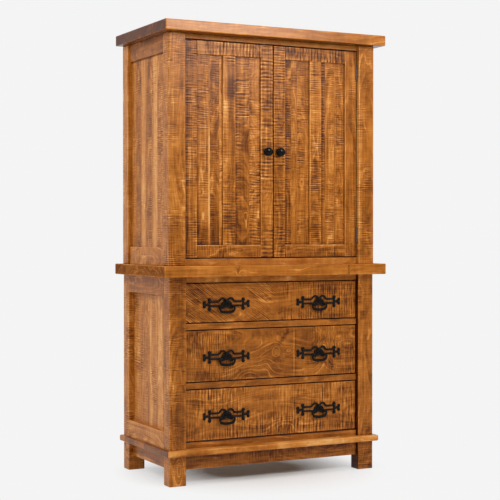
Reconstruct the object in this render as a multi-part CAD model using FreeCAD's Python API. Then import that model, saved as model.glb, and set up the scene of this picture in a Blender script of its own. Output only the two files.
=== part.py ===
import FreeCAD, Part

import math
import os

from FreeCAD import Vector

# A two-part television armoire in solid rough-sawn maple, all sizes in millimetres.
# +X is right seen from the front, +Y is the back, +Z is up. The origin is on the floor, under
# the middle of the slabs.

# ------------------------------------------------------------------ driving sizes
# Slabs: one on top, one at the waist between the two cases
waist_slab_w = 1067.0
waist_slab_t = 46.0
top_slab_w = 1059.0
top_slab_t = 45.0
slab_depth = 556.0
slab_edge_r = 4.0

# Posts, four to each case
post_w = 76.0
post_d = 60.0
post_edge_r = 3.0

# Lower case, heights from the floor up
lower_w = 986.0
lower_setback = 46.0
foot_h = 125.0
moulding_t = 25.0
lower_bottom_rail_h = 27.0
bottom_opening_h = 220.0
middle_opening_h = 220.0
top_opening_h = 170.0
divider_rail_h = 27.0
lower_top_rail_h = 26.0

# Upper case, heights from the waist slab up
upper_w = 992.0
upper_setback = 45.0
upper_bottom_rail_h = 28.5
door_opening_h = 913.0
upper_top_rail_h = 21.5

# Front frame of both cases
front_recess = 18.0
front_rail_t = 22.0
tenon_l = 15.0
tenon_t = 10.0
tenon_shoulder = 4.0

# Side frames
side_panel_t = 10.0
groove_d = 9.0
upper_side_rail_h = 75.0
upper_side_rail_t = 22.0
upper_side_rail_recess = 10.0
upper_side_panel_recess = 19.0
lower_side_top_rail_h = 78.0
lower_side_bottom_rail_h = 97.0
lower_side_rail_t = 38.0
lower_side_panel_recess = 24.0

# Base moulding and aprons
moulding_side = 18.5
moulding_front = 24.5
moulding_corner_r = 9.0
moulding_edge_r = 6.0
apron_h = 61.0
apron_t = 22.0
side_apron_recess = 20.0

# Backs
back_panel_t = 6.0
back_rabbet_w = 10.0
back_rail_t = 20.0
back_rail_h = 60.0
cable_hole_r = 30.0
cable_hole_inset = 150.0
cable_hole_rise = 90.0

# Inside the upper case
upper_floor_t = 18.0
shelf_t = 20.0
shelf_rise = 245.0
shelf_side_clear = 1.5
shelf_front_clear = 6.0
shelf_back_clear = 3.0
shelf_pin_r = 2.5
shelf_pin_in_post = 10.0
shelf_pin_out = 9.0
shelf_pin_edge = 11.0
shelf_hole_pitch = 32.0
shelf_hole_steps = 2

# Doors
reveal = 3.2
door_t = 21.5
door_stile_w = 57.0
door_top_rail_h = 56.0
door_bottom_rail_h = 53.0
door_mullion_w = 57.0
door_panel_t = 8.0
door_panel_recess = 9.5
board_edge_r = 1.2

# Door knobs
knob_d = 36.0
knob_from_edge = 28.5
knob_rise = 451.0
knob_foot_d = 35.0
knob_foot_t = 7.5
knob_neck_d = 26.0
knob_neck_l = 1.5
knob_reach = 27.0
knob_foot_edge = 1.0
knob_cap_h = 3.0
knob_under_in = 1.4
knob_under_rise = 2.2
knob_shoulder_in = 1.2
knob_screw_r = 2.0
screw_head_r = 4.2
screw_head_t = 2.4

# Door hinges
hinge_h = 64.0
hinge_from_end = 95.0
hinge_barrel_r = 3.6
hinge_pin_r = 1.6
hinge_pin_clear = 0.06
hinge_knuckle_gap = 0.2
hinge_running_gap = 0.2
hinge_leaf_t = 1.5
hinge_knuckles = 5
hinge_tip_r = 2.8
hinge_tip_h = 3.5

# Magnetic door catches
catch_w = 44.0
catch_h = 36.0
catch_d = 16.0
catch_from_middle = 20.0
catch_plate_t = 1.5
catch_plate_h = 12.0

# Drawers
drawer_front_t = 22.0
drawer_side_t = 12.0
drawer_side_inset = 0.8
drawer_box_l = 367.0
drawer_box_drop = 20.0
drawer_bottom_t = 6.0
drawer_bottom_rise = 10.0
drawer_bottom_groove = 6.0
dovetail_l = 14.0
dovetail_pitch = 46.0
dovetail_slope = 8.0
dovetail_share = 0.6

# Drawer runners, guides and stops
slide_clear = 0.3
guide_clear = 1.0
kick_clear = 1.0
runner_in = 22.0
runner_out = 38.0
guide_h = 24.0
stop_l = 18.0
stop_h = 24.0

# Drawer pulls: a cast ornament with a hanging bail
pull_from_middle = 224.0
pull_below_middle = 7.0
pull_plate_t = 5.0
pull_bar_w = 5.5
pull_upper_bar = 11.5
pull_lower_bar = -6.5
pull_inner_lobe_x = 79.0
pull_inner_lobe_z = 19.0
pull_inner_lobe_r = 7.5
pull_outer_lobe_x = 103.5
pull_outer_lobe_z = 8.5
pull_outer_lobe_r = 6.5
pull_web_w = 9.0
pull_neck_w = 8.0
knot_upper_x = 17.0
knot_upper_z = 12.5
knot_upper_r = 13.5
knot_lower_x = 15.0
knot_lower_z = -6.0
knot_lower_r = 13.0
knot_eye_r = 5.0
ear_w = 6.0
ear_x = 27.5
ear_r = 4.5
bail_pivot_z = -9.0
bail_standoff = 11.0
bail_r = 3.0
bail_half_w = 34.5
bail_drop = 27.0
bail_corner_r = 17.0
bail_pin_r = 2.0
bail_pin_clear = 0.08
pull_screw_r = 2.0

# ------------------------------------------------------------------ levels and planes
y_back = slab_depth / 2
y_slab_front = -slab_depth / 2

z_moulding_top = foot_h + moulding_t
z_bottom_opening = z_moulding_top + lower_bottom_rail_h
z_middle_opening = z_bottom_opening + bottom_opening_h + divider_rail_h
z_top_opening = z_middle_opening + middle_opening_h + divider_rail_h
z_waist = z_top_opening + top_opening_h + lower_top_rail_h
z_upper = z_waist + waist_slab_t
z_door_opening = z_upper + upper_bottom_rail_h
z_door_opening_top = z_door_opening + door_opening_h
z_top_slab = z_door_opening_top + upper_top_rail_h

openings = {
    "bottom": (z_bottom_opening, z_bottom_opening + bottom_opening_h),
    "middle": (z_middle_opening, z_middle_opening + middle_opening_h),
    "top": (z_top_opening, z_top_opening + top_opening_h),
}

y_back_rail = y_back - back_panel_t - back_rail_t
y_back_post = y_back - post_d


class Case:
    """The planes that one case's pieces share."""

    def __init__(self, width, setback):
        self.side = width / 2
        self.inner = width / 2 - post_w
        self.post_front = y_slab_front + setback
        self.post_back = self.post_front + post_d
        self.face = self.post_front + front_recess
        self.face_back = self.face + front_rail_t


upper = Case(upper_w, upper_setback)
lower = Case(lower_w, lower_setback)


# ------------------------------------------------------------------ helpers
def box(x0, x1, y0, y1, z0, z1):
    return Part.makeBox(x1 - x0, y1 - y0, z1 - z0, Vector(x0, y0, z0))


def rod(radius, start, end):
    """A round bar from one point to another."""
    axis = end - start
    return Part.makeCylinder(radius, axis.Length, start, axis)


def prism(points, axis):
    """A flat outline pushed along an axis."""
    face = Part.Face(Part.makePolygon(points + points[:1]))
    return face.extrude(axis)


def mirrored(shape):
    """The same piece on the other side of the middle plane."""
    return shape.mirror(Vector(0, 0, 0), Vector(1, 0, 0))


def both_sides(shape):
    return [shape, mirrored(shape)]


def ease(shape, radius, wanted):
    """Rounds over the edges that wanted(edge) picks."""
    return shape.makeFillet(radius, [e for e in shape.Edges if wanted(e)])


def runs_along(edge, axis):
    """True for a straight edge parallel to an axis given as 0, 1 or 2."""
    ends = [v.Point for v in edge.Vertexes]
    if len(ends) != 2:
        return False
    span = [abs(ends[1][i] - ends[0][i]) for i in range(3)]
    return span[axis] > 0 and sum(span) == span[axis]


def lies_at(edge, axis, value):
    """True for an edge whose whole length is at one coordinate."""
    return all(abs(v.Point[axis] - value) < 1e-6 for v in edge.Vertexes)


def less(shape, mates):
    """A piece with its grooves and mortises cut to the mates that enter it."""
    for mate in mates:
        shape = shape.cut(mate)
    return shape


def save(name, solids):
    """Writes one sub-part, which may be several like solids."""
    pieces = [s for shape in solids for s in shape.Solids]
    for piece in pieces:
        assert piece.isValid(), name
    shape = pieces[0] if len(pieces) == 1 else Part.makeCompound(pieces)
    shape.exportStep(os.path.join("parts", name + ".step"))


# ------------------------------------------------------------------ slabs
def slab(width, z0, thickness):
    """A thick glued-up top with every edge eased."""
    blank = box(-width / 2, width / 2, y_slab_front, y_back, z0, z0 + thickness)
    return blank.makeFillet(slab_edge_r, blank.Edges)


# ------------------------------------------------------------------ posts
def post(case, y0, z0, z1, foot):
    """One left-hand post. A foot also has its floor edges eased."""
    blank = box(-case.side, -case.inner, y0, y0 + post_d, z0, z1)

    def wanted(edge):
        return runs_along(edge, 2) or (foot and lies_at(edge, 2, z0))

    return ease(blank, post_edge_r, wanted)


# ------------------------------------------------------------------ front rails
def front_rail(case, z0, z1):
    """A rail across the front with a stub tenon in each front post."""
    body = box(-case.inner, case.inner, case.face, case.face_back, z0, z1)
    mid = (case.face + case.face_back) / 2
    reach = case.inner + tenon_l
    tenons = box(-reach, reach, mid - tenon_t / 2, mid + tenon_t / 2,
                 z0 + tenon_shoulder, z1 - tenon_shoulder)
    return body.fuse(tenons).removeSplitter()


# ------------------------------------------------------------------ side frames
def side_rail(case, recess, thickness, panel_recess, z0, z1):
    """A left-hand side rail with a tongue in the groove of each post."""
    x0 = -case.side + recess
    body = box(x0, x0 + thickness, case.post_back, y_back_post, z0, z1)
    panel_x = -case.side + panel_recess
    tongue = box(panel_x, panel_x + side_panel_t,
                 case.post_back - groove_d, y_back_post + groove_d, z0, z1)
    return body.fuse(tongue).removeSplitter()


def side_panel(case, panel_recess, z0, z1):
    """A left-hand side panel, held in grooves all round."""
    x0 = -case.side + panel_recess
    return box(x0, x0 + side_panel_t, case.post_back - groove_d, y_back_post + groove_d,
               z0 - groove_d, z1 + groove_d)


# ------------------------------------------------------------------ backs
def back_rail(case, z0, z1):
    return box(-case.inner, case.inner, y_back_rail, y_back - back_panel_t, z0, z1)


def back_panel(case, z0, z1):
    """A thin back in rabbets along the inner back corners of the posts."""
    half = case.inner + back_rabbet_w
    return box(-half, half, y_back - back_panel_t, y_back, z0, z1)


# ------------------------------------------------------------------ upper case
def make_upper_case():
    front_post = post(upper, upper.post_front, z_upper, z_top_slab, False)
    back_post = post(upper, y_back_post, z_upper, z_top_slab, False)
    top_rail = front_rail(upper, z_door_opening_top, z_top_slab)
    bottom_rail = front_rail(upper, z_upper, z_door_opening)

    panel_z0 = z_upper + upper_side_rail_h
    panel_z1 = z_top_slab - upper_side_rail_h
    levels = [(z_upper, panel_z0), (panel_z1, z_top_slab)]
    side_rails = [side_rail(upper, upper_side_rail_recess, upper_side_rail_t,
                            upper_side_panel_recess, *level) for level in levels]
    panel = side_panel(upper, upper_side_panel_recess, panel_z0, panel_z1)

    back = back_panel(upper, z_upper, z_top_slab)
    back_rails = [back_rail(upper, z_upper, z_upper + back_rail_h),
                  back_rail(upper, z_top_slab - back_rail_h, z_top_slab)]

    pin_rows = [(upper.face_back + shelf_pin_edge, front_post),
                (y_back_rail - shelf_pin_edge, back_post)]
    shelf_z = z_door_opening + shelf_rise
    drilled, pins = [], []
    for y, blank in pin_rows:
        for step in range(-shelf_hole_steps, shelf_hole_steps + 1):
            z = shelf_z - shelf_pin_r + step * shelf_hole_pitch
            hole = rod(shelf_pin_r, Vector(-upper.inner - shelf_pin_in_post, y, z),
                       Vector(-upper.inner, y, z))
            blank = blank.cut(hole)
            if step == 0:
                tip = Vector(-upper.inner + shelf_pin_out, y, z)
                pins.append(rod(shelf_pin_r, Vector(-upper.inner - shelf_pin_in_post, y, z), tip))
        drilled.append(blank)
    front_post, back_post = drilled

    mates = side_rails + [panel]
    front_post = less(front_post, mates + [top_rail, bottom_rail])
    back_post = less(back_post, mates + [back])
    save("upper_front_posts", both_sides(front_post))
    save("upper_back_posts", both_sides(back_post))
    save("upper_side_rails", [s for r in side_rails for s in both_sides(less(r, [panel]))])
    save("upper_side_panels", both_sides(panel))
    save("upper_front_top_rail", [top_rail])
    save("upper_front_bottom_rail", [bottom_rail])
    save("upper_back_rails", back_rails)

    holes = [rod(cable_hole_r, Vector(x, y_back - 2 * back_panel_t, z),
                 Vector(x, y_back + back_panel_t, z))
             for x, z in ((0, z_door_opening + cable_hole_rise),
                          (upper.inner - cable_hole_inset, shelf_z + shelf_t + cable_hole_rise))]
    save("upper_back_panel", [less(back, holes)])

    reach = upper.side - upper_side_rail_recess - upper_side_rail_t
    floor_z = z_door_opening - upper_floor_t
    floor = box(-reach, reach, upper.face_back, y_back_rail, floor_z, z_door_opening)
    floor = less(floor, both_sides(front_post) + both_sides(back_post))
    save("upper_floor", [floor])

    shelf_half = upper.inner - shelf_side_clear
    shelf = box(-shelf_half, shelf_half, upper.face_back + shelf_front_clear,
                y_back_rail - shelf_back_clear, shelf_z, shelf_z + shelf_t)
    shelf = ease(shelf, board_edge_r, lambda e: runs_along(e, 0))
    save("upper_shelf", [shelf])
    save("shelf_pins", [s for pin in pins for s in both_sides(pin)])


# ------------------------------------------------------------------ lower case
def make_lower_case():
    front_post = post(lower, lower.post_front, 0, z_waist, True)
    back_post = post(lower, y_back_post, 0, z_waist, True)

    rails = [front_rail(lower, foot_h, z_bottom_opening),
             front_rail(lower, openings["bottom"][1], z_middle_opening),
             front_rail(lower, openings["middle"][1], z_top_opening),
             front_rail(lower, openings["top"][1], z_waist)]
    apron_z = foot_h - apron_h
    apron = front_rail(lower, apron_z, foot_h)

    panel_z0 = foot_h + lower_side_bottom_rail_h
    panel_z1 = z_waist - lower_side_top_rail_h
    levels = [(foot_h, panel_z0), (panel_z1, z_waist)]
    side_rails = [side_rail(lower, 0, lower_side_rail_t, lower_side_panel_recess, *level)
                  for level in levels]
    panel = side_panel(lower, lower_side_panel_recess, panel_z0, panel_z1)
    side_apron = side_rail(lower, side_apron_recess, apron_t, lower_side_panel_recess,
                           apron_z, foot_h)

    back = back_panel(lower, foot_h, z_waist)
    back_rails = [back_rail(lower, foot_h, foot_h + back_rail_h),
                  back_rail(lower, z_waist - back_rail_h, z_waist)]
    back_apron = back_rail(lower, apron_z, foot_h)

    mates = side_rails + [panel, side_apron]
    save("lower_front_posts", both_sides(less(front_post, mates + rails + [apron])))
    save("lower_back_posts", both_sides(less(back_post, mates + [back])))
    save("lower_side_rails", [s for r in side_rails for s in both_sides(less(r, [panel]))])
    save("lower_side_panels", both_sides(panel))
    save("lower_front_rails", rails)
    save("front_apron", [apron])
    save("side_aprons", both_sides(side_apron))
    save("back_apron", [back_apron])
    save("lower_back_rails", back_rails)
    save("lower_back_panel", [back])


def make_moulding():
    """The base moulding: one front strip notched round the posts, mitred to two side strips."""
    x_out = lower.side + moulding_side
    y_out = lower.post_front - moulding_front
    z0, z1 = foot_h, z_moulding_top
    blank = box(-x_out, x_out, y_out, y_back, z0, z1)
    blank = ease(blank, moulding_corner_r,
                 lambda e: runs_along(e, 2) and lies_at(e, 1, y_out))

    def wanted(edge):
        flat = lies_at(edge, 2, z0) or lies_at(edge, 2, z1)
        return flat and not lies_at(edge, 1, y_back)

    blank = ease(blank, moulding_edge_r, wanted)
    mitre = Vector(-lower.side - 2 * moulding_side, lower.post_front - 2 * moulding_front, z0)
    right_mitre = Vector(-mitre.x, mitre.y, z0)
    up = Vector(0, 0, moulding_t)

    def at(x, y):
        return Vector(x, y, z0)

    front_outline = [
        mitre, right_mitre,
        at(lower.side, lower.post_front), at(lower.inner, lower.post_front),
        at(lower.inner, lower.face), at(-lower.inner, lower.face),
        at(-lower.inner, lower.post_front), at(-lower.side, lower.post_front),
    ]
    side_outline = [mitre, at(-lower.side, lower.post_front), at(-lower.side, y_back),
                    at(mitre.x, y_back)]
    front = blank.common(prism(front_outline, up))
    side = blank.common(prism(side_outline, up))
    save("base_moulding_front", [front])
    save("base_moulding_sides", both_sides(side))


# ------------------------------------------------------------------ doors
hinge_x = upper.inner - hinge_running_gap - hinge_barrel_r
hinge_y = upper.face - hinge_running_gap - hinge_barrel_r
door_z0 = z_door_opening + reveal
door_z1 = z_door_opening_top - reveal
hinge_levels = [door_z0 + hinge_from_end - hinge_h / 2, door_z1 - hinge_from_end - hinge_h / 2]


def make_right_door_frame():
    """Stiles, rails, mullion and two panels of the right-hand door."""
    x0 = reveal / 2
    x1 = upper.inner - reveal
    y0 = upper.face
    y1 = y0 + door_t
    in0, in1 = x0 + door_stile_w, x1 - door_stile_w
    zi0, zi1 = door_z0 + door_bottom_rail_h, door_z1 - door_top_rail_h
    mid = (x0 + x1) / 2
    m0, m1 = mid - door_mullion_w / 2, mid + door_mullion_w / 2
    p0 = y0 + door_panel_recess
    p1 = p0 + door_panel_t

    def framed(outer, tongue):
        shaped = ease(outer, board_edge_r, lambda e: lies_at(e, 1, y0))
        return shaped.fuse(tongue).removeSplitter()

    panels = [box(in0 - groove_d, m0 + groove_d, p0, p1, zi0 - groove_d, zi1 + groove_d),
              box(m1 - groove_d, in1 + groove_d, p0, p1, zi0 - groove_d, zi1 + groove_d)]
    mullion = framed(box(m0, m1, y0, y1, zi0, zi1),
                     box(m0, m1, p0, p1, zi0 - groove_d, zi1 + groove_d))
    rails = [framed(box(in0, in1, y0, y1, door_z0, zi0),
                    box(in0 - groove_d, in1 + groove_d, p0, p1, door_z0, zi0)),
             framed(box(in0, in1, y0, y1, zi1, door_z1),
                    box(in0 - groove_d, in1 + groove_d, p0, p1, zi1, door_z1))]
    stiles = [ease(box(a, b, y0, y1, door_z0, door_z1), board_edge_r,
                   lambda e: lies_at(e, 1, y0)) for a, b in ((x0, in0), (in1, x1))]
    mullion = less(mullion, panels)
    rails = [less(r, [mullion] + panels) for r in rails]
    stiles = [less(s, rails + panels) for s in stiles]
    return stiles, rails, mullion, panels


def make_knob(x, z, face_y, stile_back):
    """A turned mushroom knob, and the screw that holds it from inside the door."""
    radius = knob_d / 2
    foot = knob_foot_d / 2
    neck = knob_neck_d / 2
    start = knob_foot_t + knob_neck_l
    belly = start + (knob_reach - start) * 0.4

    def at(r, reach):
        return Vector(x + r, face_y - reach, z)

    def curve(*points):
        return Part.Arc(*points).toShape()

    rim_in = foot - knob_foot_edge
    rim = curve(at(rim_in, 0), at(foot, knob_foot_t * 0.45), at(neck, knob_foot_t))
    under = curve(at(neck, start), at(radius - knob_under_in, start + knob_under_rise),
                  at(radius, belly))
    brow = radius * 0.76
    cap_foot = knob_reach - knob_cap_h
    shoulder = curve(at(radius, belly), at(radius - knob_shoulder_in, (belly + knob_reach) / 2),
                     at(brow, cap_foot))
    sphere_r = (brow ** 2 + knob_cap_h ** 2) / (2 * knob_cap_h)
    half_way = knob_reach - sphere_r + math.sqrt(sphere_r ** 2 - (brow / 2) ** 2)
    dome = curve(at(brow, cap_foot), at(brow / 2, half_way), at(0, knob_reach))
    lines = [(at(0, knob_reach), at(0, 0)), (at(0, 0), at(rim_in, 0)),
             (at(neck, knob_foot_t), at(neck, start))]
    edges = [Part.makeLine(a, b) for a, b in lines] + [rim, under, shoulder, dome]
    profile = Part.Face(Part.Wire(Part.__sortEdges__(edges)))
    knob = profile.revolve(Vector(x, face_y, z), Vector(0, 1, 0), 360)
    shank = rod(knob_screw_r, Vector(x, face_y - knob_foot_t, z), Vector(x, stile_back, z))
    head = rod(screw_head_r, Vector(x, stile_back, z), Vector(x, stile_back + screw_head_t, z))
    screw = shank.fuse(head).removeSplitter()
    return less(knob, [screw]), screw


def make_right_hinge(z0):
    """Frame leaf, door leaf and pin of one right-hand butt hinge with its foot at z0."""
    pitch = hinge_h / hinge_knuckles
    back = upper.face + door_t
    axis = Vector(hinge_x, hinge_y, 0)

    def leaf(x, mine):
        plate = box(x, x + hinge_leaf_t, hinge_y, back, z0, z0 + hinge_h)
        for k in range(hinge_knuckles):
            low = z0 + k * pitch + hinge_knuckle_gap / 2
            high = low + pitch - hinge_knuckle_gap
            if k % 2 == mine:
                knuckle = rod(hinge_barrel_r, axis + Vector(0, 0, low), axis + Vector(0, 0, high))
                plate = plate.fuse(knuckle)
            else:
                room = rod(hinge_barrel_r + hinge_running_gap,
                           axis + Vector(0, 0, low - hinge_knuckle_gap),
                           axis + Vector(0, 0, high + hinge_knuckle_gap))
                plate = plate.cut(room)
        bore = rod(hinge_pin_r + hinge_pin_clear, axis + Vector(0, 0, z0 - 1),
                   axis + Vector(0, 0, z0 + hinge_h + 1))
        return plate.cut(bore).removeSplitter()

    frame_leaf = leaf(upper.inner - hinge_leaf_t, 0)
    door_leaf = leaf(upper.inner - reveal, 1)
    high = z0 + hinge_h
    pin = rod(hinge_pin_r, axis + Vector(0, 0, z0), axis + Vector(0, 0, high))
    for z, way in ((high, 1), (z0, -1)):
        tip = Part.makeCone(hinge_tip_r, hinge_tip_r * 0.45, hinge_tip_h,
                            axis + Vector(0, 0, z), Vector(0, 0, way))
        pin = pin.fuse(tip)
    return frame_leaf, door_leaf, pin.removeSplitter()


def make_right_catch():
    """The steel plate on the right-hand door and its magnet on the top rail."""
    x0 = catch_from_middle
    x1 = x0 + catch_w
    door_back = upper.face + door_t
    plate = box(x0, x1, door_back - catch_plate_t, door_back,
                door_z1 - catch_plate_h - tenon_shoulder, door_z1 - tenon_shoulder)
    magnet = box(x0, x1, upper.face_back, upper.face_back + catch_d,
                 z_top_slab - catch_h, z_top_slab)
    return plate, magnet


def make_doors():
    stiles, rails, mullion, panels = make_right_door_frame()
    knob, screw = make_knob(reveal / 2 + knob_from_edge, door_z0 + knob_rise,
                            upper.face, upper.face + door_t)
    plate, magnet = make_right_catch()
    hinges = [make_right_hinge(z) for z in hinge_levels]
    stiles = [less(s, [screw, plate]) for s in stiles]
    rails = [less(r, [plate]) for r in rails]
    for side, turn in (("right", lambda s: s), ("left", mirrored)):
        save(f"door_{side}_stiles", [turn(s) for s in stiles])
        save(f"door_{side}_rails", [turn(s) for s in rails + [mullion]])
        save(f"door_{side}_panels", [turn(s) for s in panels])
        save(f"door_{side}_knob", [turn(s) for s in (knob, screw)])
        save(f"door_{side}_hinge_leaves", [turn(h[1]) for h in hinges])
        save(f"door_{side}_catch_plate", [turn(plate)])
    save("door_catch_magnets", both_sides(magnet))
    save("hinge_frame_leaves", [s for h in hinges for s in both_sides(h[0])])
    save("hinge_pins", [s for h in hinges for s in both_sides(h[2])])


# ------------------------------------------------------------------ drawers
def tails(x0, x1, y, reach, z0, z1):
    """Dovetails on a left-hand side, from the plane y and reach long, wider at their ends."""
    count = max(2, round((z1 - z0) / dovetail_pitch))
    pitch = (z1 - z0) / count
    wide = pitch * dovetail_share / 2
    narrow = wide - abs(reach) / dovetail_slope
    made = []
    for k in range(count):
        z = z0 + (k + 0.5) * pitch
        outline = [Vector(x0, y, z - narrow), Vector(x0, y + reach, z - wide),
                   Vector(x0, y + reach, z + wide), Vector(x0, y, z + narrow)]
        made.append(prism(outline, Vector(x1 - x0, 0, 0)))
    return made


def make_drawer(name, opening):
    """Front, dovetailed box and bottom of one drawer, with its two pulls and bails."""
    z0, z1 = opening
    half = lower.inner - reveal
    front_z0, front_z1 = z0 + reveal, z1 - reveal
    face = lower.face
    shoulder = face + drawer_front_t
    front = box(-half, half, face, shoulder, front_z0, front_z1)
    front = ease(front, board_edge_r, lambda e: lies_at(e, 1, face))

    out = half - drawer_side_inset
    box_z1 = front_z1 - drawer_box_drop
    box_back = shoulder + drawer_box_l
    back_y = box_back - drawer_side_t
    side = box(-out, -out + drawer_side_t, shoulder, back_y, front_z0, box_z1)
    ends = tails(-out, -out + drawer_side_t, shoulder, -dovetail_l, front_z0, box_z1)
    ends += tails(-out, -out + drawer_side_t, back_y, drawer_side_t, front_z0, box_z1)
    for tail in ends:
        side = side.fuse(tail)
    side = side.removeSplitter()

    bottom_z0 = front_z0 + drawer_bottom_rise
    bottom_z1 = bottom_z0 + drawer_bottom_t
    bottom_half = out - drawer_side_t + drawer_bottom_groove
    bottom = box(-bottom_half, bottom_half, shoulder - drawer_bottom_groove, box_back,
                 bottom_z0, bottom_z1)
    back = box(-out, out, back_y, box_back, bottom_z1, box_z1)
    sides = both_sides(side)
    back = less(back, sides)
    front = less(front, sides + [bottom])
    sides = [less(s, [bottom]) for s in sides]

    middle_z = (z0 + z1) / 2 - pull_below_middle
    plate, screws, bail = make_pull(face, shoulder)
    pulls, bails = [], {}
    for side_name, x in (("left", -pull_from_middle), ("right", pull_from_middle)):
        place = Vector(x, 0, middle_z)
        moved = [p.translated(place) for p in [plate] + screws]
        front = less(front, moved[1:])
        pulls += moved
        bails[side_name] = bail.translated(place)

    save(f"drawer_{name}_front", [front])
    save(f"drawer_{name}_box", sides + [back])
    save(f"drawer_{name}_bottom", [bottom])
    save(f"drawer_{name}_pulls", pulls)
    for side_name, piece in bails.items():
        save(f"drawer_{name}_bail_{side_name}", [piece])


# ------------------------------------------------------------------ pulls
def make_pull(face, shoulder):
    """A cast plate, its two screws and its bail, centred on x 0 and z 0 at the drawer's face."""
    y0 = face - pull_plate_t
    pivot_y = face - bail_standoff

    def disc(x, z, radius):
        return rod(radius, Vector(x, y0, z), Vector(x, face, z))

    def strip(xa, xb, za, zb):
        return box(xa, xb, y0, face, za, zb)

    half_bar = pull_bar_w / 2
    arm = []
    for z in (pull_upper_bar, pull_lower_bar):
        arm.append(strip(knot_upper_x, pull_inner_lobe_x, z - half_bar, z + half_bar))
    for x, z, radius in ((pull_inner_lobe_x, pull_inner_lobe_z, pull_inner_lobe_r),
                         (pull_outer_lobe_x, pull_outer_lobe_z, pull_outer_lobe_r)):
        arm += [disc(x, z, radius), disc(x, -z, radius)]
        arm.append(strip(x - pull_web_w / 2, x + pull_web_w / 2, -z, z))
    arm.append(strip(pull_inner_lobe_x, pull_outer_lobe_x, -pull_neck_w / 2, pull_neck_w / 2))
    arm.append(disc(knot_upper_x, knot_upper_z, knot_upper_r))
    arm.append(disc(knot_lower_x, knot_lower_z, knot_lower_r))
    ear = rod(ear_r, Vector(ear_x - ear_w / 2, pivot_y, bail_pivot_z),
              Vector(ear_x + ear_w / 2, pivot_y, bail_pivot_z))
    stem = box(ear_x - ear_w / 2, ear_x + ear_w / 2, pivot_y, face,
               bail_pivot_z - ear_r, bail_pivot_z + ear_r)
    arm += [ear, stem]
    plate = arm[0].multiFuse(arm[1:] + [mirrored(p) for p in arm])
    eye = disc(knot_upper_x, knot_upper_z, knot_eye_r)
    bore = rod(bail_pin_r + bail_pin_clear, Vector(-bail_half_w, pivot_y, bail_pivot_z),
               Vector(bail_half_w, pivot_y, bail_pivot_z))
    plate = less(plate, both_sides(eye) + [bore]).removeSplitter()

    screws = []
    for x in (-pull_inner_lobe_x, pull_inner_lobe_x):
        shank = rod(pull_screw_r, Vector(x, face, 0), Vector(x, shoulder, 0))
        head = rod(screw_head_r, Vector(x, shoulder, 0), Vector(x, shoulder + screw_head_t, 0))
        screws.append(shank.fuse(head).removeSplitter())

    def at(x, z):
        return Vector(x, pivot_y, z)

    side_z = bail_pivot_z - bail_drop + bail_corner_r
    low_z = bail_pivot_z - bail_drop
    corner_x = bail_half_w - bail_corner_r
    bend = bail_corner_r * (1 - math.sqrt(0.5))
    route = [
        Part.makeLine(at(-bail_half_w, bail_pivot_z), at(-bail_half_w, side_z)),
        Part.Arc(at(-bail_half_w, side_z), at(-bail_half_w + bend, low_z + bend),
                 at(-corner_x, low_z)).toShape(),
        Part.makeLine(at(-corner_x, low_z), at(corner_x, low_z)),
        Part.Arc(at(corner_x, low_z), at(bail_half_w - bend, low_z + bend),
                 at(bail_half_w, side_z)).toShape(),
        Part.makeLine(at(bail_half_w, side_z), at(bail_half_w, bail_pivot_z)),
    ]
    start = Part.Wire(Part.makeCircle(bail_r, at(-bail_half_w, bail_pivot_z), Vector(0, 0, 1)))
    bail = Part.Wire(route).makePipeShell([start], True, True)
    inner_end = ear_x - ear_w / 2
    for way in (-1, 1):
        pin = rod(bail_pin_r, at(way * inner_end, bail_pivot_z), at(way * bail_half_w, bail_pivot_z))
        eye = Part.makeSphere(bail_r, at(way * bail_half_w, bail_pivot_z))
        bail = bail.fuse(pin).fuse(eye)
    return plate, screws, bail.removeSplitter()


# ------------------------------------------------------------------ drawer runners
def make_runners():
    """Runners that double as kickers for the drawer below, with guides and stops on them."""
    half = lower.inner - reveal - drawer_side_inset
    guide_x = half + guide_clear
    tops = [openings[n][0] + reveal - slide_clear for n in ("bottom", "middle", "top")]
    strip_h = (divider_rail_h + 2 * reveal - slide_clear + drawer_box_drop - kick_clear)
    strips = [(top - strip_h, top) for top in tops]
    kicker_z0 = openings["top"][1] - reveal - drawer_box_drop + kick_clear
    strips.append((kicker_z0, z_waist))
    runners, guides = [], []
    stop_y = lower.face + drawer_front_t + drawer_box_l + slide_clear
    for z0, z1 in strips:
        inner = box(-half, -half + runner_in, lower.face_back, y_back_post, z0, z1)
        outer = box(-lower.inner - runner_out, -half, lower.post_back, y_back_post, z0, z1)
        runners.append(inner.fuse(outer).removeSplitter())
    for top in tops:
        guides.append(box(-lower.inner - runner_out, -guide_x, lower.post_back, y_back_post,
                          top, top + guide_h))
        guides.append(box(-half, -half + runner_in, stop_y, stop_y + stop_l, top, top + stop_h))
    save("drawer_runners", [s for r in runners for s in both_sides(r)])
    save("drawer_guides", [s for g in guides for s in both_sides(g)])


# ------------------------------------------------------------------ the whole armoire
os.makedirs("parts", exist_ok=True)
save("top_slab", [slab(top_slab_w, z_top_slab, top_slab_t)])
save("waist_slab", [slab(waist_slab_w, z_waist, waist_slab_t)])
make_upper_case()
make_lower_case()
make_moulding()
make_doors()
for drawer_name, drawer_opening in openings.items():
    make_drawer(drawer_name, drawer_opening)
make_runners()
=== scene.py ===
import math

import bmesh
import bpy
import numpy as np
from mathutils import Matrix, Vector


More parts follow.
